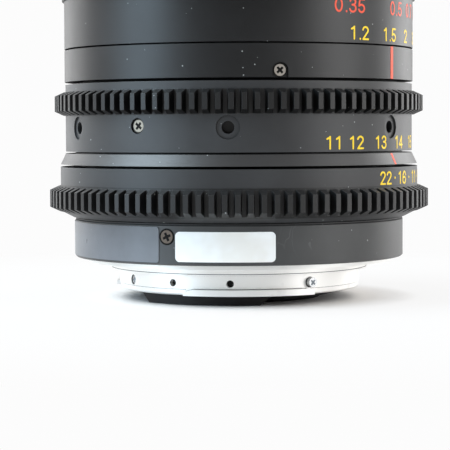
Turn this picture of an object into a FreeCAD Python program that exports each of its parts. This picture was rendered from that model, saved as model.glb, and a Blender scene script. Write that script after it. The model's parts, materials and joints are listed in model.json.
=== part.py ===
import FreeCAD, Part
import math
import os

# Wide-angle zoom lens with three toothed control rings, standing on its bayonet mount.
# Millimetres. Z is the optical axis and grows towards the front glass, and the
# surface that the lens stands on is at zero. An azimuth of 0 faces -Y, where the index
# lines are, and azimuths grow towards +X.

Vector = FreeCAD.Vector
ORIGIN = Vector(0, 0, 0)
AXIS = Vector(0, 0, 1)

# Clearances
RUNNING = 0.08
SEATING = 0.03
SLOT_PLAY = 0.15
RING_GAP = 0.4
OVERCUT = 1.0

# Screws with a cross recess, as shares of the head's size
SCREW_TAPER = 0.62
CROSS_ARM = 0.62
CROSS_WIDTH = 0.24
CROSS_DEPTH = 0.55
SCREW_MOUTH = 3.0
SCREW_TIP_GAP = 0.3

# Bayonet mount
BAFFLE_DEPTH = 7.9
SEAT_TO_FRONT = 92.0
FLANGE_THICK = 0.95
FLANGE_RADIUS = 32.5
BAYONET_RADIUS = 25.6
BAYONET_BORE = 24.4
BAYONET_LENGTH = 5.8
BAYONET_EDGE = 0.3
BAYONET_FOOT_STEP = 0.15
COLLAR_RADIUS = 27.3
COLLAR_HEIGHT = 1.62
TAB_RADIUS = 27.0
TAB_HEIGHT = 1.25
TAB_ROOT = 0.5
TAB_RAMP = 0.5
TAB_RAMP_ANGLE = 4.0
TAB_AZIMUTHS = (-53.1, 82.0, 172.4)
TAB_ANGLES = (59.5, 50.0, 59.5)
GROOVE_WIDTH = 0.12
GROOVE_DEPTH = 0.1
SIDE_FEATURE_HEIGHT = 2.45
SIDE_HOLE_RADIUS = 0.75
SIDE_HOLE_AZIMUTHS = (-62.0, -89.7)
SIDE_SCREW_AZIMUTHS = (-23.7, -117.1)
SIDE_SCREW_PROUD = (1.0, -0.3)
SIDE_SCREW_HEAD = 1.0
SIDE_SCREW_SEAT = 0.9
SIDE_SCREW_CROSS = 0.35
MOUNT_SCREW_COUNT = 4
MOUNT_SCREW_CIRCLE = 29.6
MOUNT_SCREW_HEAD = 1.5
MOUNT_SCREW_SHANK = 0.8
MOUNT_SCREW_SINK = 0.76
MOUNT_SCREW_AZIMUTH = 20.0

# Rear baffle and electrical contacts
BAFFLE_RADIUS = 24.3
BAFFLE_NOSE_RADIUS = 17.2
BAFFLE_NOSE_EDGE = 0.4
BAFFLE_TAPER = 1.9
BAFFLE_FLOOR = 1.4
BAFFLE_SHELF = 3.2
BAFFLE_WALL = 1.9
BAFFLE_OPENING = 13.4
BLOCK_INNER = 19.6
BLOCK_GAP = 0.1
BLOCK_END_GAP_ANGLE = 0.4
BLOCK_AZIMUTH = -77.9
BLOCK_ANGLE = 70.8
BLOCK_BEVEL_RUN = 2.3
BLOCK_BEVEL_HEIGHT = 1.9
CONTACT_COUNT = 8
CONTACT_PITCH_ANGLE = 7.0
CONTACT_RADIUS = 0.75
CONTACT_CIRCLE = 22.0
CONTACT_LENGTH = 1.6
CONTACT_RECESS = 0.1

# Fixed barrel
BARREL_GAP = 0.3
BARREL_WALL = 2.0
BARREL_WEB = 1.95
BARREL_WEB_BORE = 23.0
REAR_BARREL_WALL = 1.5
REAR_BARREL_HEIGHT = 8.05
REAR_BARREL_EDGE = 0.25
REAR_SCREW_AZIMUTH = -81.9
REAR_SCREW_DROP = 2.4
REAR_SCREW_HEAD = 1.35
REAR_SCREW_SINK = 0.05
REAR_SCREW_LENGTH = 1.6
SCREW_HEAD_HEIGHT = 0.7
SCREW_SHANK = 0.65
RADIAL_SCREW_COUNT = 3
PLATE_THICK = 0.14
PLATE_MARGIN = 0.5
PLATE_CORNER = 0.6
PLATE_START_AZIMUTH = -158.0
PLATE_END_AZIMUTH = -84.8
PLATE_SCREW_PLAY = 1.75
LABEL_THICK = 0.10
LABEL_START_AZIMUTH = -78.9
LABEL_END_AZIMUTH = -46.1
LABEL_HEIGHT = 5.96
LABEL_DROP = 1.35
LABEL_CORNER = 0.9
BOARD_THICK = 1.0
BOARD_WIDTH = 2.3
BOARD_EDGE_GAP = 0.1
BOARD_ANGLE = 150.0

# Teeth of the control rings, with their gaps as shares of the pitch
TOOTH_DEPTH = 1.85
TOOTH_CHAMFER = 0.85
TOOTH_END = 0.3
TIP_GAP_RATIO = 0.72
ROOT_GAP_RATIO = 0.36

# Aperture ring
APERTURE_CONE_WALL = 2.0
APERTURE_CONE_HEIGHT = 1.3
APERTURE_TEETH = 99
APERTURE_TEETH_RISE = 2.3
APERTURE_GEAR_HEIGHT = 5.2
APERTURE_BAND_WALL = 4.55
APERTURE_BAND_HEIGHT = 4.05

# Index ring between the aperture and zoom rings
INDEX_RING_GAP = 0.55
INDEX_RING_STEP = 0.05
INDEX_RING_HEIGHT = 2.3

# Zoom ring
ZOOM_BAND_WALL = 3.4
ZOOM_BAND_HEIGHT = 7.55
ZOOM_TEETH = 96
ZOOM_TEETH_RISE = 2.3
ZOOM_GEAR_HEIGHT = 4.9
ZOOM_COLLAR_HEIGHT = 1.55
LEVER_HOLE_RADIUS = 1.25
LEVER_INSERT_RADIUS = 2.35
LEVER_HOLE_COUNT = 6
LEVER_HOLE_HEIGHT = 4.9
LEVER_HOLE_AZIMUTH = -1.15
LEVER_RECESS = 0.4
LEVER_SEAT = 0.6
ZOOM_SCREW_HEIGHT = 5.25
ZOOM_SCREW_AZIMUTH = -90.7
ZOOM_SCREW_HEAD = 1.275
ZOOM_SCREW_POCKET = 1.55
ZOOM_SCREW_SINK = 0.5
ZOOM_SCREW_HEAD_HEIGHT = 0.6
ZOOM_SCREW_LENGTH = 1.3
KEY_TOP_GAP = 2.3
KEY_SCREW_GAP = 1.2

# Index barrel between the zoom and focus rings
INDEX_BARREL_GAP = 0.58
INDEX_BARREL_WALL = 3.55
INDEX_BARREL_HEIGHT = 6.57
INDEX_SCREW_AZIMUTH = -45.2
INDEX_SCREW_HEIGHT = 1.4
INDEX_SCREW_HEAD = 1.2
INDEX_SCREW_SINK = 0.45
INDEX_SCREW_LENGTH = 2.6
INDEX_NOTCH_HALF_WIDTH = 1.6
INDEX_NOTCH_DEPTH = 0.7

# Focus ring
FOCUS_RING_GAP = 0.35
FOCUS_BAND_WALL = 2.3
FOCUS_BAND_HEIGHT = 10.13
FOCUS_TEETH = 103
FOCUS_TEETH_RISE = 4.95
FOCUS_GEAR_HEIGHT = 5.2
FOCUS_COLLAR_STEP = 0.45
FOCUS_COLLAR_HEIGHT = 1.2
FOCUS_FLARE_HEIGHT = 1.1
FOCUS_FLARE_STEP = 0.45
FOCUS_GEAR_PLAY = 1.25
FOCUS_SCREW_INSET = 1.25
FOCUS_SCREW_HEAD = 1.1
FOCUS_SCREW_HEAD_HEIGHT = 0.8
FOCUS_SCREW_SHANK = 0.55
FOCUS_SCREW_GRIP = 1.5
FOCUS_SCREW_TIP_GAP = 0.2
FOCUS_SCREW_COUNT = 3

# Front barrel, unseen in the photograph: every wall follows from the front glass
FRONT_BARREL_GAP = 0.45
FRONT_CELL_WALL = 7.0
FRONT_RIM_STEP = 1.0
FRONT_WALL = 1.6
FRONT_RIM_HEIGHT = 3.3
FRONT_SHOULDER = 1.6
FRONT_SHOULDER_HEIGHT = 1.6
FRONT_STRAIGHT = 12.3
FRONT_FLARE_HEIGHT = 2.5
FRONT_FLOOR = 0.2
FILTER_WALL = 3.4
FILTER_DEPTH = 3.5
FILTER_UNDERCUT = 0.5
FILTER_SKIRT_WALL = 1.0
RIM_DEPTH = 7.6
RIM_SEAT_GAP = 0.8
FRONT_EDGE = 0.4
FRONT_CELL_GAP = 0.7
FRONT_GLASS_DROP = 16.0
SECOND_GLASS_DROP = 8.6
THIRD_GLASS_DROP = 13.6

# Guide tube, cam tube and helicoid sleeve
GUIDE_BORE = 27.2
GUIDE_WALL = 1.8
CAM_CLEARANCE = 0.3
CAM_WALL = 1.9
KEY_RADIUS = 1.3
ROLLER_RADIUS = 1.5
FOLLOWER_COUNT = 3
CAM_STEPS = 6
CAM_EDGE_GAP = 1.4
CAM_FRONT_GAP = 2.4
KEY_COUNT = 3
KEY_FOOT_GAP = 0.1
ROLLER_FOOT = 2.0
ROLLER_TOP_GAP = 0.2
SLEEVE_OVERLAP = 1.6
SLEEVE_REACH = 4.3
CELL_HALF = 3.2
CELL_LEAD_IN = 2.0
CELL_LEAD_DEPTH = 1.5
RING_RELIEF_DEPTH = 0.4
LAND = 1.8
MAIN_BARREL_REACH = 3.0
GUIDE_SETBACK = 0.6

# Places along the axis, each from the piece that carries it
FOCUS_KEY_HEIGHT = 3.4
FOCUS_ROLLER_HEIGHT = 8.2
FRONT_CELL_TAIL = 6.0
FRONT_FLARE_GAP = 2.4
COMPENSATOR_HEIGHT = 4.3
VARIATOR_HEIGHT = 5.6
VARIATOR_SEAT_DROP = 1.0
COMPENSATOR_SEAT_DROP = 2.2
RELAY_FRONT_DROP = 4.6
RELAY_REAR_DROP = 9.8
RELAY_TAIL = 2.0
RELAY_FLANGE_GAP = 0.6
RELAY_REAR_WALL = 2.8
RELAY_MOUTH = 4.5
RELAY_MOUTH_DEPTH = 2.3
RELAY_STEP_GAP = 1.0

# Travel of the rings, degrees from the settings in the photograph
FOCUS_RANGE = (-47.5, 33.0)
ZOOM_RANGE = (-32.0, 26.6)
APERTURE_RANGE = (-59.5, 6.0)
FOCUS_LEAD = 0.0373
VARIATOR_LEAD = 0.1024
COMPENSATOR_LEAD = -0.0500

# Iris
BLADE_COUNT = 9
BLADE_THICK = 0.1
BLADE_PITCH = 0.14
BLADE_PIVOT_CIRCLE = 18.9
BLADE_ARM = 8.0
BLADE_OUTER = 17.6
BLADE_INNER = 11.0
BLADE_ANGLE = 112.0
BLADE_START_ANGLE = 87.0
BLADE_SWING_ANGLE = 29.1
BLADE_PIN_RADIUS = 0.5
BLADE_PIN_GAP = 0.1
BLADE_EAR_RADIUS = 1.05
BLADE_EAR_OVERLAP = 1.5
IRIS_HEIGHT = 1.4
IRIS_PLATE = 1.2
IRIS_SOCKET_FLOOR = 0.2
IRIS_BASE_GAP = 0.1
IRIS_DRIVE_GAP = 0.2
IRIS_DRIVE_STEP = 1.5
IRIS_COVER_STEP = 3.0
IRIS_COVER_GAP = 0.5
IRIS_COVER_PLATE = 0.8
IRIS_OPENING = 12.0
IRIS_CAM_STEPS = 10
ARM_WIDTH = 5.0
ARM_THICK = 1.0
ARM_AZIMUTH = 120.0
ARM_FOOT = 3.0
ARM_GRIP = 1.2
ARM_SEAT_GAP = 0.1
ARM_END_ANGLE = 0.5
WASHER_THICK = 0.2
WASHER_STEP = 0.7
WASHER_WIDTH = 0.7

# Glass: radius, then the heights of the back centre, back edge, front centre and
# front edge above each cell's own seat
FRONT_GLASS = (31.2, 7.7, 0.0, 10.7, 1.9)
SECOND_GLASS = (25.0, 6.2, 0.0, 8.1, 3.4)
THIRD_GLASS = (21.5, 2.6, 0.0, 4.2, 6.7)
VARIATOR_GLASS = (19.0, -1.4, 0.0, 3.3, 1.3)
COMPENSATOR_GLASS = (16.5, 1.0, 0.0, 3.0, 4.2)
RELAY_FRONT_GLASS = (15.5, -1.4, 0.0, 3.8, 2.2)
RELAY_REAR_GLASS = (13.6, -0.7, 0.0, 4.0, 2.8)
LENS_LIP = 1.3
FRONT_CELL_TOP = 0.6
SECOND_LEAD_IN = 0.8
THIRD_LEAD_IN = 0.4
THIRD_LEAD_TOP = 1.4
RETAINER_LIP = 0.8
RETAINER_HEIGHT = 3.9
RETAINER_LAND = 3.6
RETAINER_EDGE = 1.0
RETAINER_GAP = 0.05

# Heights of the stack, from the standing surface upwards
SEAT_Z = BAFFLE_DEPTH
BARREL_Z = SEAT_Z + FLANGE_THICK
REAR_TOP = BARREL_Z + REAR_BARREL_HEIGHT
APERTURE_Z = REAR_TOP + RING_GAP
APERTURE_GEAR_Z = APERTURE_Z + APERTURE_CONE_HEIGHT
APERTURE_BAND_Z = APERTURE_GEAR_Z + APERTURE_GEAR_HEIGHT
APERTURE_TOP = APERTURE_BAND_Z + APERTURE_BAND_HEIGHT
INDEX_RING_Z = APERTURE_TOP + INDEX_RING_GAP
INDEX_RING_TOP = INDEX_RING_Z + INDEX_RING_HEIGHT
ZOOM_Z = INDEX_RING_TOP + RING_GAP
ZOOM_GEAR_Z = ZOOM_Z + ZOOM_BAND_HEIGHT
ZOOM_COLLAR_Z = ZOOM_GEAR_Z + ZOOM_GEAR_HEIGHT
ZOOM_TOP = ZOOM_COLLAR_Z + ZOOM_COLLAR_HEIGHT
INDEX_BARREL_Z = ZOOM_TOP + INDEX_BARREL_GAP
INDEX_BARREL_TOP = INDEX_BARREL_Z + INDEX_BARREL_HEIGHT
FOCUS_Z = INDEX_BARREL_TOP + FOCUS_RING_GAP
FOCUS_GEAR_Z = FOCUS_Z + FOCUS_BAND_HEIGHT
FOCUS_FLARE_Z = FOCUS_GEAR_Z + FOCUS_COLLAR_HEIGHT
FOCUS_TEETH_Z = FOCUS_FLARE_Z + FOCUS_FLARE_HEIGHT
FOCUS_TOP = FOCUS_TEETH_Z + FOCUS_GEAR_HEIGHT
FRONT_Z = FOCUS_TOP + FRONT_BARREL_GAP
FRONT_TOP = SEAT_Z + SEAT_TO_FRONT
RIM_Z = FRONT_TOP - FRONT_RIM_HEIGHT
BARREL_TOP = FRONT_Z + MAIN_BARREL_REACH
WEB_TOP = BARREL_Z + BARREL_WEB
GUIDE_RADIUS = GUIDE_BORE + GUIDE_WALL
GUIDE_TOP = FOCUS_TOP - GUIDE_SETBACK
CAM_BORE = GUIDE_RADIUS + CAM_CLEARANCE
CAM_RADIUS = CAM_BORE + CAM_WALL
BARREL_BORE = CAM_RADIUS + BARREL_GAP
BARREL_RADIUS = BARREL_BORE + BARREL_WALL
RING_BORE = BARREL_RADIUS + RUNNING
RING_RELIEF = RING_BORE + RING_RELIEF_DEPTH
BAYONET_Z = SEAT_Z - BAYONET_LENGTH
SIDE_FEATURE_Z = BAYONET_Z + SIDE_FEATURE_HEIGHT
REAR_SCREW_Z = REAR_TOP - REAR_SCREW_DROP
LABEL_TOP = REAR_TOP - LABEL_DROP
LEVER_SEAT_RADIUS = RING_RELIEF + LEVER_SEAT
BOARD_RADIUS = GUIDE_BORE - BOARD_EDGE_GAP
BOARD_INNER = BOARD_RADIUS - BOARD_WIDTH
WASHER_INNER = BARREL_RADIUS + WASHER_STEP
WASHER_OUTER = WASHER_INNER + WASHER_WIDTH

# Radii of the rings, each from the fixed barrel that carries it
REAR_BARREL_RADIUS = BARREL_RADIUS + REAR_BARREL_WALL
APERTURE_CONE_RADIUS = BARREL_RADIUS + APERTURE_CONE_WALL
APERTURE_BAND_RADIUS = BARREL_RADIUS + APERTURE_BAND_WALL
APERTURE_TIP_RADIUS = APERTURE_BAND_RADIUS + APERTURE_TEETH_RISE
APERTURE_ROOT_RADIUS = APERTURE_TIP_RADIUS - TOOTH_DEPTH
ZOOM_BAND_RADIUS = BARREL_RADIUS + ZOOM_BAND_WALL
ZOOM_TIP_RADIUS = ZOOM_BAND_RADIUS + ZOOM_TEETH_RISE
ZOOM_ROOT_RADIUS = ZOOM_TIP_RADIUS - TOOTH_DEPTH
INDEX_RING_REAR = APERTURE_BAND_RADIUS - INDEX_RING_STEP
INDEX_RING_FRONT = ZOOM_BAND_RADIUS
INDEX_BARREL_RADIUS = BARREL_RADIUS + INDEX_BARREL_WALL
FOCUS_GEAR_BORE = BARREL_RADIUS + FOCUS_GEAR_PLAY
FOCUS_SCREW_CIRCLE = FOCUS_GEAR_BORE + FOCUS_SCREW_INSET
FOCUS_BAND_RADIUS = FOCUS_GEAR_BORE + FOCUS_BAND_WALL
FOCUS_TIP_RADIUS = FOCUS_BAND_RADIUS + FOCUS_TEETH_RISE
FOCUS_ROOT_RADIUS = FOCUS_TIP_RADIUS - TOOTH_DEPTH

# Radii of the front, each from the front glass outwards
FRONT_CELL_RADIUS = FRONT_GLASS[0] + FRONT_CELL_WALL
FRONT_BARREL_BORE = FRONT_CELL_RADIUS + FRONT_CELL_GAP
FRONT_BARREL_RADIUS = FRONT_BARREL_BORE + FRONT_WALL
FRONT_BARREL_THROAT = FRONT_BARREL_RADIUS - FRONT_SHOULDER
FRONT_RIM_RADIUS = FRONT_BARREL_RADIUS + FRONT_RIM_STEP
FILTER_RADIUS = FRONT_RIM_RADIUS - FILTER_WALL
FILTER_RELIEF = FILTER_RADIUS + FILTER_UNDERCUT
FILTER_SKIRT = FILTER_RELIEF + FILTER_SKIRT_WALL


# Shape helpers

def turned(points):
    """A solid of revolution about the axis from (radius, height) corners."""
    corners = [Vector(radius, 0, height) for radius, height in points]
    outline = Part.makePolygon(corners + corners[:1])
    return Part.Face(outline).revolve(ORIGIN, AXIS, 360)


def tube(inner, outer, bottom, top):
    """A plain tube between two radii and two heights."""
    return turned([(inner, bottom), (outer, bottom), (outer, top), (inner, top)])


def at_azimuth(shape, azimuth):
    """A copy of a shape that was made at azimuth 0, turned to another azimuth."""
    copy = shape.copy()
    copy.rotate(ORIGIN, AXIS, azimuth)
    return copy


def around(shape, count, first=0.0):
    """Equally spaced copies of a shape about the axis."""
    return [at_azimuth(shape, first + 360.0 * number / count) for number in range(count)]


def outward(shape, radius, height):
    """A shape made along +Z, laid on its side so that it points out at azimuth 0."""
    copy = shape.copy()
    copy.rotate(ORIGIN, Vector(1, 0, 0), 90)
    copy.translate(Vector(0, -radius, height))
    return copy


def radial_pin(pin_radius, inner, outer, height):
    """A cylinder that runs outwards at azimuth 0 from one radius to another."""
    return outward(Part.makeCylinder(pin_radius, outer - inner), inner, height)


def sector(inner, outer, bottom, top, start, end):
    """A block of a ring between two azimuths."""
    corners = [
        Vector(0, -inner, bottom),
        Vector(0, -outer, bottom),
        Vector(0, -outer, top),
        Vector(0, -inner, top),
    ]
    face = Part.Face(Part.makePolygon(corners + corners[:1]))
    return at_azimuth(face.revolve(ORIGIN, AXIS, end - start), start)


def group(solids):
    """Separate solids kept side by side in one node."""
    return Part.makeCompound(solids)


def with_rounded_corners(plate, radius, thickness):
    """Rounds the four short radial edges of a curved plate."""
    edges = [edge for edge in plate.Edges if edge.Length < 1.5 * thickness]
    return plate.makeFillet(radius, edges)


def toothed(ring, teeth, root, tip, bottom, top):
    """Cuts the gaps between the teeth of a gear, and a little past its ends, into a turned ring."""
    half_pitch = 180.0 / teeth
    corners = []
    for radius, share in ((root, ROOT_GAP_RATIO), (tip + OVERCUT, TIP_GAP_RATIO)):
        half = math.radians(half_pitch * share)
        corners.append((radius, half))
    (low, low_half), (high, high_half) = corners
    start = bottom - TOOTH_END
    points = [
        Vector(-low * math.sin(low_half), -low, start),
        Vector(low * math.sin(low_half), -low, start),
        Vector(high * math.sin(high_half), -high, start),
        Vector(-high * math.sin(high_half), -high, start),
    ]
    face = Part.Face(Part.makePolygon(points + points[:1]))
    gap = face.extrude(Vector(0, 0, top - bottom + 2 * TOOTH_END))
    return ring.cut(group(around(gap, teeth, half_pitch)))


def gear_outline(root, tip, bottom, top):
    """The outer corners of a gear band with both ends chamfered."""
    return [
        (root, bottom),
        (tip, bottom + TOOTH_CHAMFER),
        (tip, top - TOOTH_CHAMFER),
        (root, top),
    ]


def screw(head_radius, head_height, shank_radius, length):
    """A screw along +Z with its head's face at zero and a cross recess."""
    head = Part.makeCone(
        head_radius * SCREW_TAPER, head_radius, head_height, Vector(0, 0, -head_height)
    )
    shank = Part.makeCylinder(shank_radius, length, Vector(0, 0, -head_height - length))
    return head.fuse(shank).cut(cross_recess(head_radius, head_height * CROSS_DEPTH))


def cross_recess(head_radius, depth):
    """The two crossed slots sunk into a screw's head whose face is at zero."""
    arm = head_radius * CROSS_ARM
    width = head_radius * CROSS_WIDTH
    return [
        Part.makeBox(2 * x, 2 * y, depth + OVERCUT, Vector(-x, -y, -depth))
        for x, y in ((arm, width), (width, arm))
    ]


def screw_pocket(head_radius, head_height, shank_radius, length):
    """The hole that a screw of the same sizes sits in, open above its head."""
    head = Part.makeCone(
        head_radius * SCREW_TAPER + SEATING, head_radius + SEATING, head_height,
        Vector(0, 0, -head_height),
    )
    shank = Part.makeCylinder(shank_radius + SEATING, length, Vector(0, 0, -head_height - length))
    mouth = Part.makeCylinder(head_radius + SEATING, SCREW_MOUTH)
    return head.fuse([shank, mouth])


def arc_slot(radius, height, start, end, inner, outer):
    """A slot round part of a tube wall with rounded ends."""
    play = radius + SLOT_PLAY
    middle = sector(inner, outer, height - play, height + play, start, end)
    ends = [at_azimuth(radial_pin(play, inner, outer, height), angle) for angle in (start, end)]
    return middle.fuse(ends)


def axial_slot(radius, low, high, inner, outer):
    """A straight slot along a tube wall at azimuth 0 with rounded ends."""
    play = radius + SLOT_PLAY
    middle = Part.makeBox(2 * play, outer - inner, high - low, Vector(-play, -outer, low))
    ends = [radial_pin(play, inner, outer, height) for height in (low, high)]
    return middle.fuse(ends)


def cam_slot(radius, height, lead, travel, inner, outer):
    """A helical slot in a ring that turns over the travel past a roller at azimuth 0."""
    play = radius + SLOT_PLAY
    low, high = travel
    step = (high - low) / CAM_STEPS
    middle = 0.5 * (inner + outer)
    pieces = []
    for number in range(CAM_STEPS + 1):
        turn = low + step * number
        pin = radial_pin(play, inner, outer, height + lead * turn)
        pieces.append(at_azimuth(pin, -turn))
    for number in range(CAM_STEPS):
        turn = low + step * (number + 0.5)
        run = middle * math.radians(step)
        rise = lead * step
        reach = math.hypot(run, rise) * 0.5
        bar = Part.makeBox(2 * reach, outer - inner, 2 * play, Vector(-reach, -outer, -play))
        bar.rotate(ORIGIN, Vector(0, 1, 0), math.degrees(math.atan2(rise, run)))
        bar.translate(Vector(0, 0, height + lead * turn))
        pieces.append(at_azimuth(bar, -turn))
    return pieces[0].fuse(pieces[1:])


def cap_point(radius, centre, edge, at_radius):
    """A point of the spherical face with the given heights at its centre and edge."""
    rise = edge - centre
    if abs(rise) < 0.001:
        return Vector(at_radius, 0, centre)
    sphere = (radius * radius + rise * rise) / (2 * abs(rise))
    drop = sphere - math.sqrt(sphere * sphere - at_radius * at_radius)
    return Vector(at_radius, 0, centre + math.copysign(drop, rise))


def glass(sizes, seat):
    """A lens element from its radius and face heights above its seat."""
    radius, back_centre, back_edge, front_centre, front_edge = sizes
    faces = ((back_centre + seat, back_edge + seat), (front_centre + seat, front_edge + seat))
    arcs = []
    for centre, edge in faces:
        start = cap_point(radius, centre, edge, 0.0)
        middle = cap_point(radius, centre, edge, radius * 0.5)
        end = cap_point(radius, centre, edge, radius)
        arcs.append(Part.Arc(start, middle, end).toShape())
    back, front = arcs
    rim = Part.LineSegment(back.Vertexes[-1].Point, front.Vertexes[-1].Point).toShape()
    spine = Part.LineSegment(front.Vertexes[0].Point, back.Vertexes[0].Point).toShape()
    outline = Part.Wire(Part.__sortEdges__([back, rim, front, spine]))
    return Part.Face(outline).revolve(ORIGIN, AXIS, 360)


# Places that several pieces share

LEVER_Z = ZOOM_Z + LEVER_HOLE_HEIGHT
ZOOM_KEY_Z = ZOOM_Z + ZOOM_SCREW_HEIGHT
FOCUS_KEY_Z = FOCUS_Z + FOCUS_KEY_HEIGHT
IRIS_Z = APERTURE_GEAR_Z + IRIS_HEIGHT
BLADES_Z = IRIS_Z + IRIS_PLATE + IRIS_BASE_GAP
DRIVE_Z = BLADES_Z + BLADE_COUNT * BLADE_PITCH + IRIS_DRIVE_GAP
ARM_Z = DRIVE_Z + IRIS_PLATE
COVER_Z = ARM_Z + ARM_THICK + IRIS_COVER_GAP
CAM_BOTTOM = COVER_Z + IRIS_COVER_PLATE + CAM_EDGE_GAP
CAM_TOP = FOCUS_Z - CAM_FRONT_GAP
COMPENSATOR_Z = CAM_BOTTOM + COMPENSATOR_HEIGHT
VARIATOR_Z = ZOOM_GEAR_Z + VARIATOR_HEIGHT
SLEEVE_BOTTOM = FOCUS_Z - SLEEVE_OVERLAP
SLEEVE_TOP = FOCUS_GEAR_Z + SLEEVE_REACH
FOCUS_ROLLER_Z = FOCUS_Z + FOCUS_ROLLER_HEIGHT
ZOOM_KEY_AZIMUTH = ZOOM_SCREW_AZIMUTH
FOLLOWER_AZIMUTH = ZOOM_KEY_AZIMUTH + 57.0
FOCUS_KEY_AZIMUTH = 0.0
FOCUS_ROLLER_AZIMUTH = 55.0
VARIATOR_SEAT = VARIATOR_Z - VARIATOR_SEAT_DROP
COMPENSATOR_SEAT = COMPENSATOR_Z - COMPENSATOR_SEAT_DROP
RELAY_FRONT_SEAT = IRIS_Z - RELAY_FRONT_DROP
RELAY_REAR_SEAT = RELAY_FRONT_SEAT - RELAY_REAR_DROP
RELAY_BOTTOM = RELAY_REAR_SEAT - RELAY_TAIL
RELAY_FLANGE = WEB_TOP + BOARD_THICK + RELAY_FLANGE_GAP
FRONT_FLARE_Z = BARREL_TOP + FRONT_FLARE_GAP
FRONT_SEAT_Z = FRONT_TOP - FRONT_GLASS_DROP
SECOND_SEAT_Z = FRONT_SEAT_Z - SECOND_GLASS_DROP
THIRD_SEAT_Z = SECOND_SEAT_Z - THIRD_GLASS_DROP
FRONT_CELL_TOP_Z = FRONT_SEAT_Z + FRONT_GLASS[4] + FRONT_CELL_TOP


# Fixed pieces of the mount

def bayonet_flange():
    foot = BAYONET_RADIUS - BAYONET_FOOT_STEP
    foot_top = BAYONET_Z + TAB_HEIGHT
    collar = SEAT_Z - COLLAR_HEIGHT
    body = turned([
        (BAYONET_BORE, BAYONET_Z),
        (foot - BAYONET_EDGE, BAYONET_Z),
        (foot, BAYONET_Z + BAYONET_EDGE),
        (foot, foot_top),
        (BAYONET_RADIUS, foot_top),
        (BAYONET_RADIUS, collar),
        (COLLAR_RADIUS, collar),
        (COLLAR_RADIUS, SEAT_Z),
        (FLANGE_RADIUS, SEAT_Z),
        (FLANGE_RADIUS, BARREL_Z),
        (BAYONET_BORE, BARREL_Z),
    ])
    body = body.fuse([
        at_azimuth(bayonet_tab(angle), azimuth) for angle, azimuth in zip(TAB_ANGLES, TAB_AZIMUTHS)
    ])
    groove_z = collar + 2 * GROOVE_WIDTH
    groove = tube(
        COLLAR_RADIUS - GROOVE_DEPTH, COLLAR_RADIUS + OVERCUT, groove_z, groove_z + GROOVE_WIDTH
    )
    hole = radial_pin(
        SIDE_HOLE_RADIUS, BAYONET_BORE - OVERCUT, BAYONET_RADIUS + OVERCUT, SIDE_FEATURE_Z
    )
    holes = [at_azimuth(hole, azimuth) for azimuth in SIDE_HOLE_AZIMUTHS]
    seat = radial_pin(
        SIDE_SCREW_HEAD + SEATING, BAYONET_RADIUS - SIDE_SCREW_SEAT, TAB_RADIUS, SIDE_FEATURE_Z
    )
    seats = [at_azimuth(seat, azimuth) for azimuth in SIDE_SCREW_AZIMUTHS]
    return body.cut([groove] + holes + seats + mount_screw_pockets())


def bayonet_tab(angle):
    """One bayonet tab at azimuth 0, with a ramp at each end of its upper face."""
    half = angle / 2
    top = BAYONET_Z + TAB_HEIGHT
    inner = BAYONET_BORE + TAB_ROOT
    tab = sector(inner, TAB_RADIUS, BAYONET_Z, top, -half, half)
    run = TAB_RADIUS * math.sin(math.radians(TAB_RAMP_ANGLE))
    corners = [(0, -TAB_RAMP), (0, OVERCUT), (run, OVERCUT), (run, 0)]
    points = [Vector(x, -BAYONET_RADIUS, top + z) for x, z in corners]
    face = Part.Face(Part.makePolygon(points + points[:1]))
    ramp = face.extrude(Vector(0, -OVERCUT - TAB_RADIUS + BAYONET_RADIUS, 0))
    return tab.cut([at_azimuth(ramp, -half), mirrored(at_azimuth(ramp, -half))])


def mirrored(shape):
    """The mirror image of a shape across the plane of azimuth 0."""
    return shape.mirror(ORIGIN, Vector(1, 0, 0))


def mount_screw_length():
    """The shank ends inside the web of the main barrel."""
    return BARREL_Z + BARREL_WEB - SEAT_Z - MOUNT_SCREW_SINK


def mount_screw_place(shape):
    """Turns a screw head down and puts it under the flange seat at azimuth 0."""
    copy = shape.copy()
    copy.rotate(ORIGIN, Vector(1, 0, 0), 180)
    copy.translate(Vector(0, -MOUNT_SCREW_CIRCLE, SEAT_Z))
    return copy


def mount_screw_pockets():
    """The holes of the mount screws, through the flange into the web above it."""
    pocket = mount_screw_place(
        screw_pocket(MOUNT_SCREW_HEAD, MOUNT_SCREW_SINK, MOUNT_SCREW_SHANK, mount_screw_length())
    )
    return around(pocket, MOUNT_SCREW_COUNT, MOUNT_SCREW_AZIMUTH)


def mount_screws():
    length = mount_screw_length() - SCREW_TIP_GAP
    one = mount_screw_place(screw(MOUNT_SCREW_HEAD, MOUNT_SCREW_SINK, MOUNT_SCREW_SHANK, length))
    return group(around(one, MOUNT_SCREW_COUNT, MOUNT_SCREW_AZIMUTH))


def bayonet_side_screws():
    """One stop screw stands out of the bayonet's wall, the other is sunk into it."""
    screws = []
    for azimuth, proud in zip(SIDE_SCREW_AZIMUTHS, SIDE_SCREW_PROUD):
        length = SIDE_SCREW_SEAT + proud
        body = Part.makeCylinder(SIDE_SCREW_HEAD, length, Vector(0, 0, -length))
        body = body.cut(cross_recess(SIDE_SCREW_HEAD, SIDE_SCREW_CROSS))
        screws.append(at_azimuth(outward(body, BAYONET_RADIUS + proud, SIDE_FEATURE_Z), azimuth))
    return group(screws)


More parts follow.
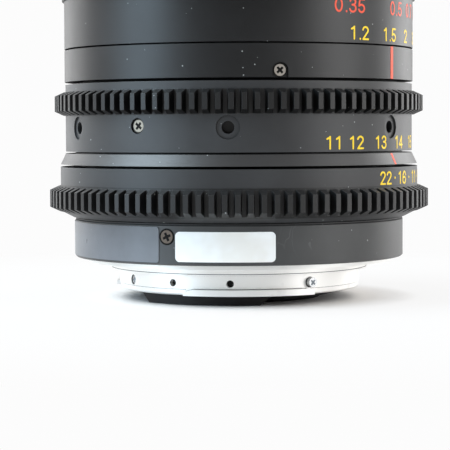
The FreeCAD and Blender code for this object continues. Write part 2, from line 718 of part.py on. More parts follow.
def rear_baffle():
    inner = BAFFLE_RADIUS - BAFFLE_WALL
    body = turned([
        (BAFFLE_OPENING, 0.0),
        (BAFFLE_NOSE_RADIUS, 0.0),
        (BAFFLE_NOSE_RADIUS + BAFFLE_NOSE_EDGE, BAFFLE_NOSE_EDGE),
        (BAFFLE_RADIUS, BAFFLE_TAPER),
        (BAFFLE_RADIUS, BARREL_Z),
        (inner, BARREL_Z),
        (inner, BAFFLE_SHELF),
        (BAFFLE_NOSE_RADIUS, BAFFLE_FLOOR),
        (BAFFLE_OPENING, BAFFLE_FLOOR),
    ])
    half = BLOCK_ANGLE / 2 + BLOCK_END_GAP_ANGLE
    cut = sector(
        BLOCK_INNER - BLOCK_GAP, BAFFLE_RADIUS + OVERCUT, -OVERCUT, BARREL_Z + OVERCUT,
        BLOCK_AZIMUTH - half, BLOCK_AZIMUTH + half,
    )
    return body.cut(cut)


def contact_places():
    """Azimuths of the electrical contacts on their block."""
    first = BLOCK_AZIMUTH - CONTACT_PITCH_ANGLE * (CONTACT_COUNT - 1) / 2
    return [first + CONTACT_PITCH_ANGLE * number for number in range(CONTACT_COUNT)]


def contact_block():
    half = BLOCK_ANGLE / 2
    body = sector(BLOCK_INNER, BAFFLE_RADIUS, 0, BARREL_Z, -half, half)
    slope = BLOCK_BEVEL_RUN / BLOCK_BEVEL_HEIGHT
    corners = [
        (-OVERCUT, -OVERCUT),
        (BLOCK_BEVEL_RUN + OVERCUT * slope, -OVERCUT),
        (0, BLOCK_BEVEL_HEIGHT),
        (-OVERCUT, BLOCK_BEVEL_HEIGHT),
    ]
    points = [Vector(x, OVERCUT - BLOCK_INNER, z) for x, z in corners]
    face = Part.Face(Part.makePolygon(points + points[:1]))
    bevel = at_azimuth(face.extrude(Vector(0, BLOCK_INNER - BAFFLE_RADIUS - 2 * OVERCUT, 0)), -half)
    body = at_azimuth(body.cut([bevel, mirrored(bevel)]), BLOCK_AZIMUTH)
    hole = Part.makeCylinder(
        CONTACT_RADIUS, CONTACT_LENGTH + OVERCUT, Vector(0, -CONTACT_CIRCLE, -OVERCUT)
    )
    return body.cut([at_azimuth(hole, azimuth) for azimuth in contact_places()])


def contact_pins():
    pin = Part.makeCylinder(
        CONTACT_RADIUS, CONTACT_LENGTH - CONTACT_RECESS, Vector(0, -CONTACT_CIRCLE, CONTACT_RECESS)
    )
    return group([at_azimuth(pin, azimuth) for azimuth in contact_places()])


# Fixed barrel and what is fastened to it

def rear_screw_pocket():
    pocket = screw_pocket(REAR_SCREW_HEAD, SCREW_HEAD_HEIGHT, SCREW_SHANK, REAR_SCREW_LENGTH)
    return outward(pocket, REAR_BARREL_RADIUS - REAR_SCREW_SINK, REAR_SCREW_Z)


def rear_barrel():
    body = turned([
        (BARREL_RADIUS + SEATING, BARREL_Z),
        (REAR_BARREL_RADIUS - REAR_BARREL_EDGE, BARREL_Z),
        (REAR_BARREL_RADIUS, BARREL_Z + REAR_BARREL_EDGE),
        (REAR_BARREL_RADIUS, REAR_TOP - REAR_BARREL_EDGE),
        (REAR_BARREL_RADIUS - REAR_BARREL_EDGE, REAR_TOP),
        (BARREL_RADIUS + SEATING, REAR_TOP),
    ])
    return body.cut(around(rear_screw_pocket(), RADIAL_SCREW_COUNT, REAR_SCREW_AZIMUTH))


def rear_barrel_screws():
    length = REAR_SCREW_LENGTH - SCREW_TIP_GAP
    body = screw(REAR_SCREW_HEAD, SCREW_HEAD_HEIGHT, SCREW_SHANK, length)
    one = outward(body, REAR_BARREL_RADIUS - REAR_SCREW_SINK, REAR_SCREW_Z)
    return group(around(one, RADIAL_SCREW_COUNT, REAR_SCREW_AZIMUTH))


def side_plate():
    plate = sector(
        REAR_BARREL_RADIUS, REAR_BARREL_RADIUS + PLATE_THICK, BARREL_Z + PLATE_MARGIN,
        REAR_TOP - PLATE_MARGIN, PLATE_START_AZIMUTH, PLATE_END_AZIMUTH,
    )
    notch = radial_pin(
        PLATE_SCREW_PLAY, REAR_BARREL_RADIUS - OVERCUT, REAR_BARREL_RADIUS + OVERCUT, REAR_SCREW_Z
    )
    plate = with_rounded_corners(plate, PLATE_CORNER, PLATE_THICK)
    return plate.cut(at_azimuth(notch, REAR_SCREW_AZIMUTH))


def blank_label():
    label = sector(
        REAR_BARREL_RADIUS, REAR_BARREL_RADIUS + LABEL_THICK, LABEL_TOP - LABEL_HEIGHT, LABEL_TOP,
        LABEL_START_AZIMUTH, LABEL_END_AZIMUTH,
    )
    return with_rounded_corners(label, LABEL_CORNER, LABEL_THICK)


def main_barrel():
    body = turned([
        (BARREL_WEB_BORE, BARREL_Z),
        (BARREL_RADIUS, BARREL_Z),
        (BARREL_RADIUS, BARREL_TOP),
        (BARREL_BORE, BARREL_TOP),
        (BARREL_BORE, WEB_TOP),
        (BARREL_WEB_BORE, WEB_TOP),
    ])
    inner = BARREL_BORE - OVERCUT
    outer = BARREL_RADIUS + OVERCUT
    cuts = mount_screw_pockets()
    zoom_slot = arc_slot(KEY_RADIUS, ZOOM_KEY_Z, *ZOOM_RANGE, inner, outer)
    cuts += around(zoom_slot, KEY_COUNT, ZOOM_KEY_AZIMUTH)
    focus_slot = arc_slot(KEY_RADIUS, FOCUS_KEY_Z, *FOCUS_RANGE, inner, outer)
    cuts += around(focus_slot, KEY_COUNT, FOCUS_KEY_AZIMUTH)
    cuts.append(arm_slot(inner, outer))
    cuts += around(rear_screw_pocket(), RADIAL_SCREW_COUNT, REAR_SCREW_AZIMUTH)
    cuts += around(index_screw_pocket(), RADIAL_SCREW_COUNT, INDEX_SCREW_AZIMUTH)
    return body.cut(cuts)


def arm_slot(inner, outer):
    """The window through which the aperture ring's arm reaches the iris."""
    half = math.degrees(math.asin((ARM_WIDTH / 2 + SLOT_PLAY) / inner)) + ARM_END_ANGLE
    low, high = APERTURE_RANGE
    return sector(
        inner, outer, ARM_Z - SLOT_PLAY, ARM_Z + ARM_THICK + SLOT_PLAY,
        ARM_AZIMUTH + low - half, ARM_AZIMUTH + high + half,
    )


def index_ring():
    return turned([
        (BARREL_RADIUS + SEATING, INDEX_RING_Z),
        (INDEX_RING_REAR, INDEX_RING_Z),
        (INDEX_RING_FRONT, INDEX_RING_TOP),
        (BARREL_RADIUS + SEATING, INDEX_RING_TOP),
    ])


def index_screw_pocket():
    pocket = screw_pocket(INDEX_SCREW_HEAD, SCREW_HEAD_HEIGHT, SCREW_SHANK, INDEX_SCREW_LENGTH)
    return outward(
        pocket, INDEX_BARREL_RADIUS - INDEX_SCREW_SINK, INDEX_BARREL_Z + INDEX_SCREW_HEIGHT
    )


def index_barrel():
    body = turned([
        (BARREL_RADIUS + SEATING, INDEX_BARREL_Z),
        (INDEX_BARREL_RADIUS, INDEX_BARREL_Z),
        (INDEX_BARREL_RADIUS, INDEX_BARREL_TOP),
        (BARREL_RADIUS + SEATING, INDEX_BARREL_TOP),
    ])
    height = INDEX_BARREL_Z + INDEX_SCREW_HEIGHT
    inner = INDEX_BARREL_RADIUS - INDEX_NOTCH_DEPTH
    outer = INDEX_BARREL_RADIUS + OVERCUT
    half = INDEX_NOTCH_HALF_WIDTH
    notch = radial_pin(half, inner, outer, height)
    mouth = Part.makeBox(
        2 * half, outer - inner, INDEX_SCREW_HEIGHT + OVERCUT,
        Vector(-half, -outer, INDEX_BARREL_Z - OVERCUT),
    )
    pocket = index_screw_pocket().fuse([notch, mouth])
    return body.cut(around(pocket, RADIAL_SCREW_COUNT, INDEX_SCREW_AZIMUTH))


def index_barrel_screws():
    length = INDEX_SCREW_LENGTH - SCREW_TIP_GAP
    body = screw(INDEX_SCREW_HEAD, SCREW_HEAD_HEIGHT, SCREW_SHANK, length)
    one = outward(
        body, INDEX_BARREL_RADIUS - INDEX_SCREW_SINK, INDEX_BARREL_Z + INDEX_SCREW_HEIGHT
    )
    return group(around(one, RADIAL_SCREW_COUNT, INDEX_SCREW_AZIMUTH))


def circuit_board():
    return sector(
        BOARD_INNER, BOARD_RADIUS, WEB_TOP, WEB_TOP + BOARD_THICK,
        BLOCK_AZIMUTH - BOARD_ANGLE / 2, BLOCK_AZIMUTH + BOARD_ANGLE / 2,
    )


def guide_tube():
    body = tube(GUIDE_BORE, GUIDE_RADIUS, WEB_TOP, GUIDE_TOP)
    inner = GUIDE_BORE - OVERCUT
    outer = GUIDE_RADIUS + OVERCUT
    cuts = [arm_slot(inner, outer)]
    for height, lead, travel, azimuth in (
        (VARIATOR_Z, VARIATOR_LEAD, ZOOM_RANGE, FOLLOWER_AZIMUTH),
        (COMPENSATOR_Z, COMPENSATOR_LEAD, ZOOM_RANGE, FOLLOWER_AZIMUTH),
        (FOCUS_ROLLER_Z, FOCUS_LEAD, FOCUS_RANGE, FOCUS_ROLLER_AZIMUTH),
    ):
        ends = sorted(height + lead * turn for turn in travel)
        slot = axial_slot(ROLLER_RADIUS, ends[0], ends[1], inner, outer)
        cuts += around(slot, FOLLOWER_COUNT, azimuth)
    return body.cut(cuts)


def front_barrel():
    flare_z = RIM_Z - FRONT_STRAIGHT
    floor = BARREL_TOP + FRONT_FLOOR
    seat = FRONT_TOP - RIM_DEPTH - RIM_SEAT_GAP
    return turned([
        (BARREL_RADIUS + SEATING, FRONT_Z),
        (FRONT_BARREL_THROAT, FRONT_Z),
        (FRONT_BARREL_RADIUS, FRONT_Z + FRONT_SHOULDER_HEIGHT),
        (FRONT_BARREL_RADIUS, flare_z),
        (FRONT_RIM_RADIUS, flare_z + FRONT_FLARE_HEIGHT),
        (FRONT_RIM_RADIUS, RIM_Z),
        (FILTER_SKIRT + SEATING, RIM_Z),
        (FILTER_SKIRT + SEATING, seat),
        (FRONT_BARREL_BORE, seat),
        (FRONT_BARREL_BORE, floor),
        (BARREL_RADIUS + SEATING, floor),
    ])


def front_rim():
    return turned([
        (FILTER_RELIEF, FRONT_TOP - RIM_DEPTH),
        (FILTER_SKIRT, FRONT_TOP - RIM_DEPTH),
        (FILTER_SKIRT, RIM_Z),
        (FRONT_RIM_RADIUS, RIM_Z),
        (FRONT_RIM_RADIUS, FRONT_TOP - FRONT_EDGE),
        (FRONT_RIM_RADIUS - FRONT_EDGE, FRONT_TOP),
        (FILTER_RADIUS + FRONT_EDGE, FRONT_TOP),
        (FILTER_RADIUS, FRONT_TOP - FRONT_EDGE),
        (FILTER_RADIUS, FRONT_TOP - FILTER_DEPTH),
        (FILTER_RELIEF, FRONT_TOP - FILTER_DEPTH),
    ])


def washer(bottom):
    return tube(WASHER_INNER, WASHER_OUTER, bottom, bottom + WASHER_THICK)


# Aperture ring and iris

def aperture_ring():
    body = turned([
        (RING_BORE, APERTURE_Z),
        (APERTURE_CONE_RADIUS, APERTURE_Z),
        (APERTURE_BAND_RADIUS, APERTURE_GEAR_Z),
        *gear_outline(
            APERTURE_ROOT_RADIUS, APERTURE_TIP_RADIUS, APERTURE_GEAR_Z, APERTURE_BAND_Z
        ),
        (APERTURE_BAND_RADIUS, APERTURE_BAND_Z),
        (APERTURE_BAND_RADIUS, APERTURE_TOP),
        (RING_BORE, APERTURE_TOP),
        (RING_BORE, APERTURE_TOP - LAND),
        (RING_RELIEF, APERTURE_TOP - LAND),
        (RING_RELIEF, APERTURE_Z + LAND),
        (RING_BORE, APERTURE_Z + LAND),
    ])
    body = toothed(
        body, APERTURE_TEETH, APERTURE_ROOT_RADIUS, APERTURE_TIP_RADIUS,
        APERTURE_GEAR_Z, APERTURE_BAND_Z,
    )
    return body.cut(
        arm_bar(RING_RELIEF - OVERCUT, RING_RELIEF + ARM_GRIP + ARM_SEAT_GAP, SEATING)
    )


def arm_bar(inner, outer, play):
    """The straight bar that joins the aperture ring to the iris."""
    bar = Part.makeBox(
        ARM_WIDTH + 2 * play, outer - inner, ARM_THICK + 2 * play,
        Vector(-ARM_WIDTH / 2 - play, -outer, ARM_Z - play),
    )
    return at_azimuth(bar, ARM_AZIMUTH)


def aperture_arm():
    return arm_bar(GUIDE_BORE - ARM_FOOT, RING_RELIEF + ARM_GRIP, 0.0)


def blade_ratio():
    """Degrees that a blade turns for one degree of the aperture ring."""
    low, high = APERTURE_RANGE
    return BLADE_SWING_ANGLE / (high - low)


def blade_angle(ring_turn):
    """How far a blade is closed when the aperture ring is turned from rest."""
    return blade_ratio() * (ring_turn - APERTURE_RANGE[0])


def drive_pin_place(ring_turn):
    """Where the first blade's drive pin lies, seen from the turning drive ring."""
    angle = math.radians(blade_angle(ring_turn))
    x = BLADE_PIVOT_CIRCLE + BLADE_ARM * math.sin(angle)
    y = -BLADE_ARM * math.cos(angle)
    turn = math.radians(-ring_turn)
    return (
        x * math.cos(turn) - y * math.sin(turn),
        x * math.sin(turn) + y * math.cos(turn),
    )


def iris_base():
    plate = tube(IRIS_OPENING, GUIDE_BORE - SEATING, IRIS_Z, IRIS_Z + IRIS_PLATE)
    place = Vector(BLADE_PIVOT_CIRCLE, 0, IRIS_Z + IRIS_SOCKET_FLOOR)
    hole = Part.makeCylinder(BLADE_PIN_RADIUS + RUNNING, IRIS_PLATE, place)
    return plate.cut(around(hole, BLADE_COUNT))


def iris_drive_ring():
    inner = IRIS_OPENING + IRIS_DRIVE_STEP
    plate = tube(inner, GUIDE_BORE - RUNNING, DRIVE_Z, DRIVE_Z + IRIS_PLATE)
    low, high = APERTURE_RANGE
    step = (high - low) / IRIS_CAM_STEPS
    radius = BLADE_PIN_RADIUS + SLOT_PLAY
    bottom = DRIVE_Z - OVERCUT
    depth = IRIS_PLATE + 2 * OVERCUT
    places = [drive_pin_place(low + step * number) for number in range(IRIS_CAM_STEPS + 1)]
    pieces = [Part.makeCylinder(radius, depth, Vector(x, y, bottom)) for x, y in places]
    for (x1, y1), (x2, y2) in zip(places, places[1:]):
        length = math.hypot(x2 - x1, y2 - y1)
        bar = Part.makeBox(length, 2 * radius, depth, Vector(0, -radius, 0))
        bar.rotate(ORIGIN, AXIS, math.degrees(math.atan2(y2 - y1, x2 - x1)))
        bar.translate(Vector(x1, y1, bottom))
        pieces.append(bar)
    slot = pieces[0].fuse(pieces[1:])
    return plate.cut(around(slot, BLADE_COUNT))


def iris_blade(number):
    """One blade at the setting of the photograph, on its own level of the stack."""
    level = BLADES_Z + number * BLADE_PITCH
    body = tube(BLADE_INNER, BLADE_OUTER, level, level + BLADE_THICK)
    keep = sector(
        BLADE_INNER - OVERCUT, BLADE_OUTER + OVERCUT, level - OVERCUT, level + OVERCUT,
        0, BLADE_ANGLE,
    )
    body = body.common(at_azimuth(keep, BLADE_START_ANGLE))
    pivot = Vector(BLADE_PIVOT_CIRCLE, 0, level)
    drive = Vector(BLADE_PIVOT_CIRCLE, -BLADE_ARM, level)
    ear = Part.makeBox(
        2 * BLADE_EAR_RADIUS, BLADE_ARM, BLADE_THICK,
        Vector(BLADE_PIVOT_CIRCLE - BLADE_EAR_RADIUS, -BLADE_ARM, level),
    )
    neck = Part.makeBox(
        BLADE_PIVOT_CIRCLE - BLADE_OUTER + BLADE_EAR_OVERLAP, 2 * BLADE_EAR_RADIUS, BLADE_THICK,
        Vector(BLADE_OUTER - BLADE_EAR_OVERLAP, -BLADE_EAR_RADIUS / 2, level),
    )
    discs = [Part.makeCylinder(BLADE_EAR_RADIUS, BLADE_THICK, place) for place in (pivot, drive)]
    pivot_length = level - IRIS_Z - IRIS_SOCKET_FLOOR - BLADE_PIN_GAP
    pivot_pin = Part.makeCylinder(
        BLADE_PIN_RADIUS, pivot_length, Vector(BLADE_PIVOT_CIRCLE, 0, level - pivot_length)
    )
    drive_length = DRIVE_Z + IRIS_PLATE - BLADE_PIN_GAP - level
    drive_pin = Part.makeCylinder(BLADE_PIN_RADIUS, drive_length, drive)
    blade = body.fuse([ear, neck, *discs, pivot_pin, drive_pin])
    blade.rotate(pivot, AXIS, blade_angle(0.0))
    return at_azimuth(blade, 360.0 * number / BLADE_COUNT)


def iris_cover():
    inner = IRIS_OPENING + IRIS_COVER_STEP
    return tube(inner, GUIDE_BORE - SEATING, COVER_Z, COVER_Z + IRIS_COVER_PLATE)


# Zoom ring and what turns with it

def zoom_screw_pocket():
    depth = ZOOM_SCREW_SINK + ZOOM_SCREW_HEAD_HEIGHT
    head = radial_pin(
        ZOOM_SCREW_POCKET, ZOOM_BAND_RADIUS - depth, ZOOM_BAND_RADIUS + OVERCUT, ZOOM_KEY_Z
    )
    shank = radial_pin(
        SCREW_SHANK + SEATING, ZOOM_BAND_RADIUS - depth - ZOOM_SCREW_LENGTH, ZOOM_BAND_RADIUS,
        ZOOM_KEY_Z,
    )
    key = radial_pin(KEY_RADIUS + SEATING, BARREL_BORE, key_reach() + SEATING, ZOOM_KEY_Z)
    return head.fuse([shank, key])


def key_reach():
    """How far out the keys reach into the control rings."""
    return ZOOM_BAND_RADIUS - KEY_TOP_GAP


def zoom_ring():
    body = turned([
        (RING_BORE, ZOOM_Z),
        (ZOOM_BAND_RADIUS, ZOOM_Z),
        (ZOOM_BAND_RADIUS, ZOOM_GEAR_Z),
        *gear_outline(ZOOM_ROOT_RADIUS, ZOOM_TIP_RADIUS, ZOOM_GEAR_Z, ZOOM_COLLAR_Z),
        (ZOOM_BAND_RADIUS, ZOOM_COLLAR_Z),
        (ZOOM_BAND_RADIUS, ZOOM_TOP),
        (RING_BORE, ZOOM_TOP),
        (RING_BORE, ZOOM_TOP - LAND),
        (RING_RELIEF, ZOOM_TOP - LAND),
        (RING_RELIEF, ZOOM_Z + LAND),
        (RING_BORE, ZOOM_Z + LAND),
    ])
    body = toothed(
        body, ZOOM_TEETH, ZOOM_ROOT_RADIUS, ZOOM_TIP_RADIUS,
        ZOOM_GEAR_Z, ZOOM_COLLAR_Z,
    )
    insert_seat = radial_pin(
        LEVER_INSERT_RADIUS, LEVER_SEAT_RADIUS, ZOOM_BAND_RADIUS + OVERCUT, LEVER_Z
    )
    seats = around(insert_seat, LEVER_HOLE_COUNT, LEVER_HOLE_AZIMUTH)
    return body.cut(seats + around(zoom_screw_pocket(), KEY_COUNT, ZOOM_SCREW_AZIMUTH))


def lever_inserts():
    """Threaded bushes, sunk a little below the band, that a lever screws into."""
    outer = radial_pin(
        LEVER_INSERT_RADIUS, LEVER_SEAT_RADIUS, ZOOM_BAND_RADIUS - LEVER_RECESS, LEVER_Z
    )
    hole = radial_pin(LEVER_HOLE_RADIUS, RING_RELIEF, ZOOM_BAND_RADIUS + OVERCUT, LEVER_Z)
    return group(around(outer.cut(hole), LEVER_HOLE_COUNT, LEVER_HOLE_AZIMUTH))


def zoom_ring_screws():
    length = ZOOM_SCREW_LENGTH - KEY_SCREW_GAP + SCREW_TIP_GAP
    body = screw(ZOOM_SCREW_HEAD, ZOOM_SCREW_HEAD_HEIGHT, SCREW_SHANK, length)
    one = outward(body, ZOOM_BAND_RADIUS - ZOOM_SCREW_SINK, ZOOM_KEY_Z)
    return group(around(one, KEY_COUNT, ZOOM_SCREW_AZIMUTH))


def zoom_keys():
    key = radial_pin(KEY_RADIUS, CAM_BORE + KEY_FOOT_GAP, key_reach() - KEY_SCREW_GAP, ZOOM_KEY_Z)
    return group(around(key, KEY_COUNT, ZOOM_KEY_AZIMUTH))


def cam_tube():
    body = tube(CAM_BORE, CAM_RADIUS, CAM_BOTTOM, CAM_TOP)
    inner = CAM_BORE - OVERCUT
    outer = CAM_RADIUS + OVERCUT
    key_hole = radial_pin(KEY_RADIUS + SEATING, inner, outer, ZOOM_KEY_Z)
    cuts = around(key_hole, KEY_COUNT, ZOOM_KEY_AZIMUTH)
    for height, lead in ((VARIATOR_Z, VARIATOR_LEAD), (COMPENSATOR_Z, COMPENSATOR_LEAD)):
        slot = cam_slot(ROLLER_RADIUS, height, lead, ZOOM_RANGE, inner, outer)
        cuts += around(slot, FOLLOWER_COUNT, FOLLOWER_AZIMUTH)
    return body.cut(cuts)


# Focus ring and what turns with it

def focus_ring():
    body = turned([
        (RING_BORE, FOCUS_Z),
        (FOCUS_BAND_RADIUS, FOCUS_Z),
        (FOCUS_BAND_RADIUS, FOCUS_GEAR_Z),
        (FOCUS_GEAR_BORE - SEATING, FOCUS_GEAR_Z),
        (FOCUS_GEAR_BORE - SEATING, FOCUS_TOP),
        (RING_BORE, FOCUS_TOP),
        (RING_BORE, FOCUS_TOP - LAND),
        (RING_RELIEF, FOCUS_TOP - LAND),
        (RING_RELIEF, FOCUS_Z + LAND),
        (RING_BORE, FOCUS_Z + LAND),
    ])
    key = radial_pin(KEY_RADIUS + SEATING, BARREL_BORE, key_reach() + SEATING, FOCUS_KEY_Z)
    cuts = around(key, KEY_COUNT, FOCUS_KEY_AZIMUTH)
    cuts += around(focus_screw_pocket(), FOCUS_SCREW_COUNT, FOCUS_ROLLER_AZIMUTH)
    return body.cut(cuts)


def focus_screw_length():
    """From under the head, through the gear, to the bottom of the thread in the focus ring."""
    return FOCUS_TOP - FOCUS_GEAR_Z + FOCUS_SCREW_GRIP


def focus_screw_pocket():
    pocket = screw_pocket(
        FOCUS_SCREW_HEAD, FOCUS_SCREW_HEAD_HEIGHT, FOCUS_SCREW_SHANK, focus_screw_length()
    )
    pocket.translate(Vector(0, -FOCUS_SCREW_CIRCLE, FOCUS_TOP))
    return pocket


def focus_gear():
    collar = FOCUS_BAND_RADIUS + FOCUS_COLLAR_STEP
    body = turned([
        (FOCUS_GEAR_BORE, FOCUS_GEAR_Z),
        (collar, FOCUS_GEAR_Z),
        (collar, FOCUS_FLARE_Z),
        (FOCUS_ROOT_RADIUS - FOCUS_FLARE_STEP, FOCUS_TEETH_Z),
        *gear_outline(FOCUS_ROOT_RADIUS, FOCUS_TIP_RADIUS, FOCUS_TEETH_Z, FOCUS_TOP),
        (FOCUS_GEAR_BORE, FOCUS_TOP),
    ])
    body = toothed(
        body, FOCUS_TEETH, FOCUS_ROOT_RADIUS, FOCUS_TIP_RADIUS, FOCUS_TEETH_Z, FOCUS_TOP
    )
    return body.cut(around(focus_screw_pocket(), FOCUS_SCREW_COUNT, FOCUS_ROLLER_AZIMUTH))


def focus_gear_screws():
    length = focus_screw_length() - FOCUS_SCREW_TIP_GAP
    one = screw(FOCUS_SCREW_HEAD, FOCUS_SCREW_HEAD_HEIGHT, FOCUS_SCREW_SHANK, length)
    one.translate(Vector(0, -FOCUS_SCREW_CIRCLE, FOCUS_TOP))
    return group(around(one, FOCUS_SCREW_COUNT, FOCUS_ROLLER_AZIMUTH))


def helicoid_sleeve():
    body = tube(CAM_BORE, CAM_RADIUS, SLEEVE_BOTTOM, SLEEVE_TOP)
    inner = CAM_BORE - OVERCUT
    outer = CAM_RADIUS + OVERCUT
    key_hole = radial_pin(KEY_RADIUS + SEATING, inner, outer, FOCUS_KEY_Z)
    slot = cam_slot(ROLLER_RADIUS, FOCUS_ROLLER_Z, FOCUS_LEAD, FOCUS_RANGE, inner, outer)
    cuts = around(key_hole, KEY_COUNT, FOCUS_KEY_AZIMUTH)
    cuts += around(slot, FOLLOWER_COUNT, FOCUS_ROLLER_AZIMUTH)
    return body.cut(cuts)


def focus_keys():
    key = radial_pin(KEY_RADIUS, CAM_BORE + KEY_FOOT_GAP, key_reach(), FOCUS_KEY_Z)
    return group(around(key, KEY_COUNT, FOCUS_KEY_AZIMUTH))


# Lens cells, which slide in the guide tube

def rollers(height, azimuth):
    pin = radial_pin(ROLLER_RADIUS, GUIDE_BORE - ROLLER_FOOT, CAM_RADIUS - ROLLER_TOP_GAP, height)
    return group(around(pin, FOLLOWER_COUNT, azimuth))


def roller_seats(height, azimuth):
    seat = radial_pin(
        ROLLER_RADIUS + SEATING, GUIDE_BORE - ROLLER_FOOT - SEATING, GUIDE_BORE + OVERCUT, height
    )
    return around(seat, FOLLOWER_COUNT, azimuth)


def lip_corner(sizes, seat):
    """The inner corner of the lip that a lens element's back edge rests on."""
    radius = sizes[0] - LENS_LIP
    back = cap_point(sizes[0], sizes[1], sizes[2], radius).z
    return radius, seat + min(0.0, back - SEATING)


def zoom_cell(sizes, seat, height):
    """A cell of the zooming groups with one seat for its glass."""
    radius = sizes[0] + SEATING
    slide = GUIDE_BORE - RUNNING
    body = turned([
        (sizes[0] - LENS_LIP, height - CELL_HALF),
        (slide, height - CELL_HALF),
        (slide, height + CELL_HALF),
        (radius + CELL_LEAD_IN, height + CELL_HALF),
        (radius, height + CELL_HALF - CELL_LEAD_DEPTH),
        (radius, seat),
        lip_corner(sizes, seat),
    ])
    return body.cut(roller_seats(height, FOLLOWER_AZIMUTH))


def relay_cell():
    front = RELAY_FRONT_GLASS[0] + SEATING
    rear = RELAY_REAR_GLASS[0] + SEATING
    wall = rear + RELAY_REAR_WALL
    return turned([
        (RELAY_REAR_GLASS[0] - LENS_LIP, RELAY_BOTTOM),
        (wall, RELAY_BOTTOM),
        (wall, RELAY_FLANGE),
        (GUIDE_BORE - SEATING, RELAY_FLANGE),
        (GUIDE_BORE - SEATING, IRIS_Z),
        (front + RELAY_MOUTH, IRIS_Z),
        (front, IRIS_Z - RELAY_MOUTH_DEPTH),
        (front, RELAY_FRONT_SEAT),
        lip_corner(RELAY_FRONT_GLASS, RELAY_FRONT_SEAT),
        (rear, RELAY_REAR_SEAT + RELAY_REAR_GLASS[4] + RELAY_STEP_GAP),
        (rear, RELAY_REAR_SEAT),
        lip_corner(RELAY_REAR_GLASS, RELAY_REAR_SEAT),
    ])


def front_cell():
    slide = GUIDE_BORE - RUNNING
    front = FRONT_GLASS[0] + SEATING
    second = SECOND_GLASS[0] + SEATING
    third = THIRD_GLASS[0] + SEATING
    tail = FOCUS_ROLLER_Z - FRONT_CELL_TAIL
    third_top = THIRD_SEAT_Z + THIRD_GLASS[4]
    body = turned([
        (third - LENS_LIP, tail),
        (slide, tail),
        (slide, FRONT_FLARE_Z),
        (FRONT_CELL_RADIUS, FRONT_FLARE_Z),
        (FRONT_CELL_RADIUS, FRONT_CELL_TOP_Z),
        (front, FRONT_CELL_TOP_Z),
        (front, FRONT_SEAT_Z),
        (front - LENS_LIP, FRONT_SEAT_Z),
        (second, SECOND_SEAT_Z + SECOND_GLASS[4] + SECOND_LEAD_IN),
        (second, SECOND_SEAT_Z),
        (second - LENS_LIP, SECOND_SEAT_Z),
        (second - LENS_LIP, third_top + THIRD_LEAD_TOP),
        (third, third_top + THIRD_LEAD_IN),
        (third, THIRD_SEAT_Z),
        (third - LENS_LIP, THIRD_SEAT_Z),
    ])
    return body.cut(roller_seats(FOCUS_ROLLER_Z, FOCUS_ROLLER_AZIMUTH))


def front_retainer():
    """The bare ring round the front glass."""
    outer = FRONT_GLASS[0] + SEATING
    inner = FRONT_GLASS[0] - RETAINER_LIP
    face = FRONT_SEAT_Z + cap_point(FRONT_GLASS[0], FRONT_GLASS[3], FRONT_GLASS[4], inner).z
    top = FRONT_CELL_TOP_Z + RETAINER_HEIGHT
    return turned([
        (outer, FRONT_CELL_TOP_Z),
        (FRONT_CELL_RADIUS, FRONT_CELL_TOP_Z),
        (FRONT_CELL_RADIUS, top),
        (FRONT_CELL_RADIUS - RETAINER_LAND, top),
        (inner, face + RETAINER_EDGE),
        (inner, face + RETAINER_GAP),
        (outer, face + RETAINER_GAP),
    ])


def all_parts():
    """Every node of the lens with its shape."""
    parts = {
        "bayonet_flange": bayonet_flange(),
        "mount_screws": mount_screws(),
        "bayonet_side_screws": bayonet_side_screws(),
        "rear_baffle": rear_baffle(),
        "contact_block": contact_block(),
        "contact_pins": contact_pins(),
        "rear_barrel": rear_barrel(),
        "rear_barrel_screws": rear_barrel_screws(),
        "side_plate": side_plate(),
        "blank_label": blank_label(),
        "main_barrel": main_barrel(),
        "index_ring": index_ring(),
        "index_barrel": index_barrel(),
        "index_barrel_screws": index_barrel_screws(),
        "circuit_board": circuit_board(),
        "guide_tube": guide_tube(),
        "front_barrel": front_barrel(),
        "front_rim": front_rim(),
        "aperture_washer": washer(REAR_TOP),
        "zoom_washer": washer(INDEX_RING_TOP),
        "focus_washer": washer(INDEX_BARREL_TOP),
        "relay_cell": relay_cell(),
        "relay_front_element": glass(RELAY_FRONT_GLASS, RELAY_FRONT_SEAT),
        "relay_rear_element": glass(RELAY_REAR_GLASS, RELAY_REAR_SEAT),
        "iris_base": iris_base(),
        "iris_cover": iris_cover(),
        "iris_drive_ring": iris_drive_ring(),
        "aperture_ring": aperture_ring(),
        "aperture_arm": aperture_arm(),
        "zoom_ring": zoom_ring(),
        "zoom_ring_screws": zoom_ring_screws(),
        "lever_inserts": lever_inserts(),
        "zoom_keys": zoom_keys(),
        "cam_tube": cam_tube(),
        "variator_cell": zoom_cell(VARIATOR_GLASS, VARIATOR_SEAT, VARIATOR_Z),
        "variator_element": glass(VARIATOR_GLASS, VARIATOR_SEAT),
        "variator_rollers": rollers(VARIATOR_Z, FOLLOWER_AZIMUTH),
        "compensator_cell": zoom_cell(COMPENSATOR_GLASS, COMPENSATOR_SEAT, COMPENSATOR_Z),
        "compensator_element": glass(COMPENSATOR_GLASS, COMPENSATOR_SEAT),
        "compensator_rollers": rollers(COMPENSATOR_Z, FOLLOWER_AZIMUTH),
        "focus_ring": focus_ring(),
        "focus_gear": focus_gear(),
        "focus_gear_screws": focus_gear_screws(),
        "helicoid_sleeve": helicoid_sleeve(),
        "focus_keys": focus_keys(),
        "front_cell": front_cell(),
        "front_element": glass(FRONT_GLASS, FRONT_SEAT_Z),
        "second_element": glass(SECOND_GLASS, SECOND_SEAT_Z),
        "third_element": glass(THIRD_GLASS, THIRD_SEAT_Z),
        "front_retainer": front_retainer(),
        "focus_rollers": rollers(FOCUS_ROLLER_Z, FOCUS_ROLLER_AZIMUTH),
    }
    for number in range(BLADE_COUNT):
        parts["iris_blade_%d" % (number + 1)] = iris_blade(number)
    return parts


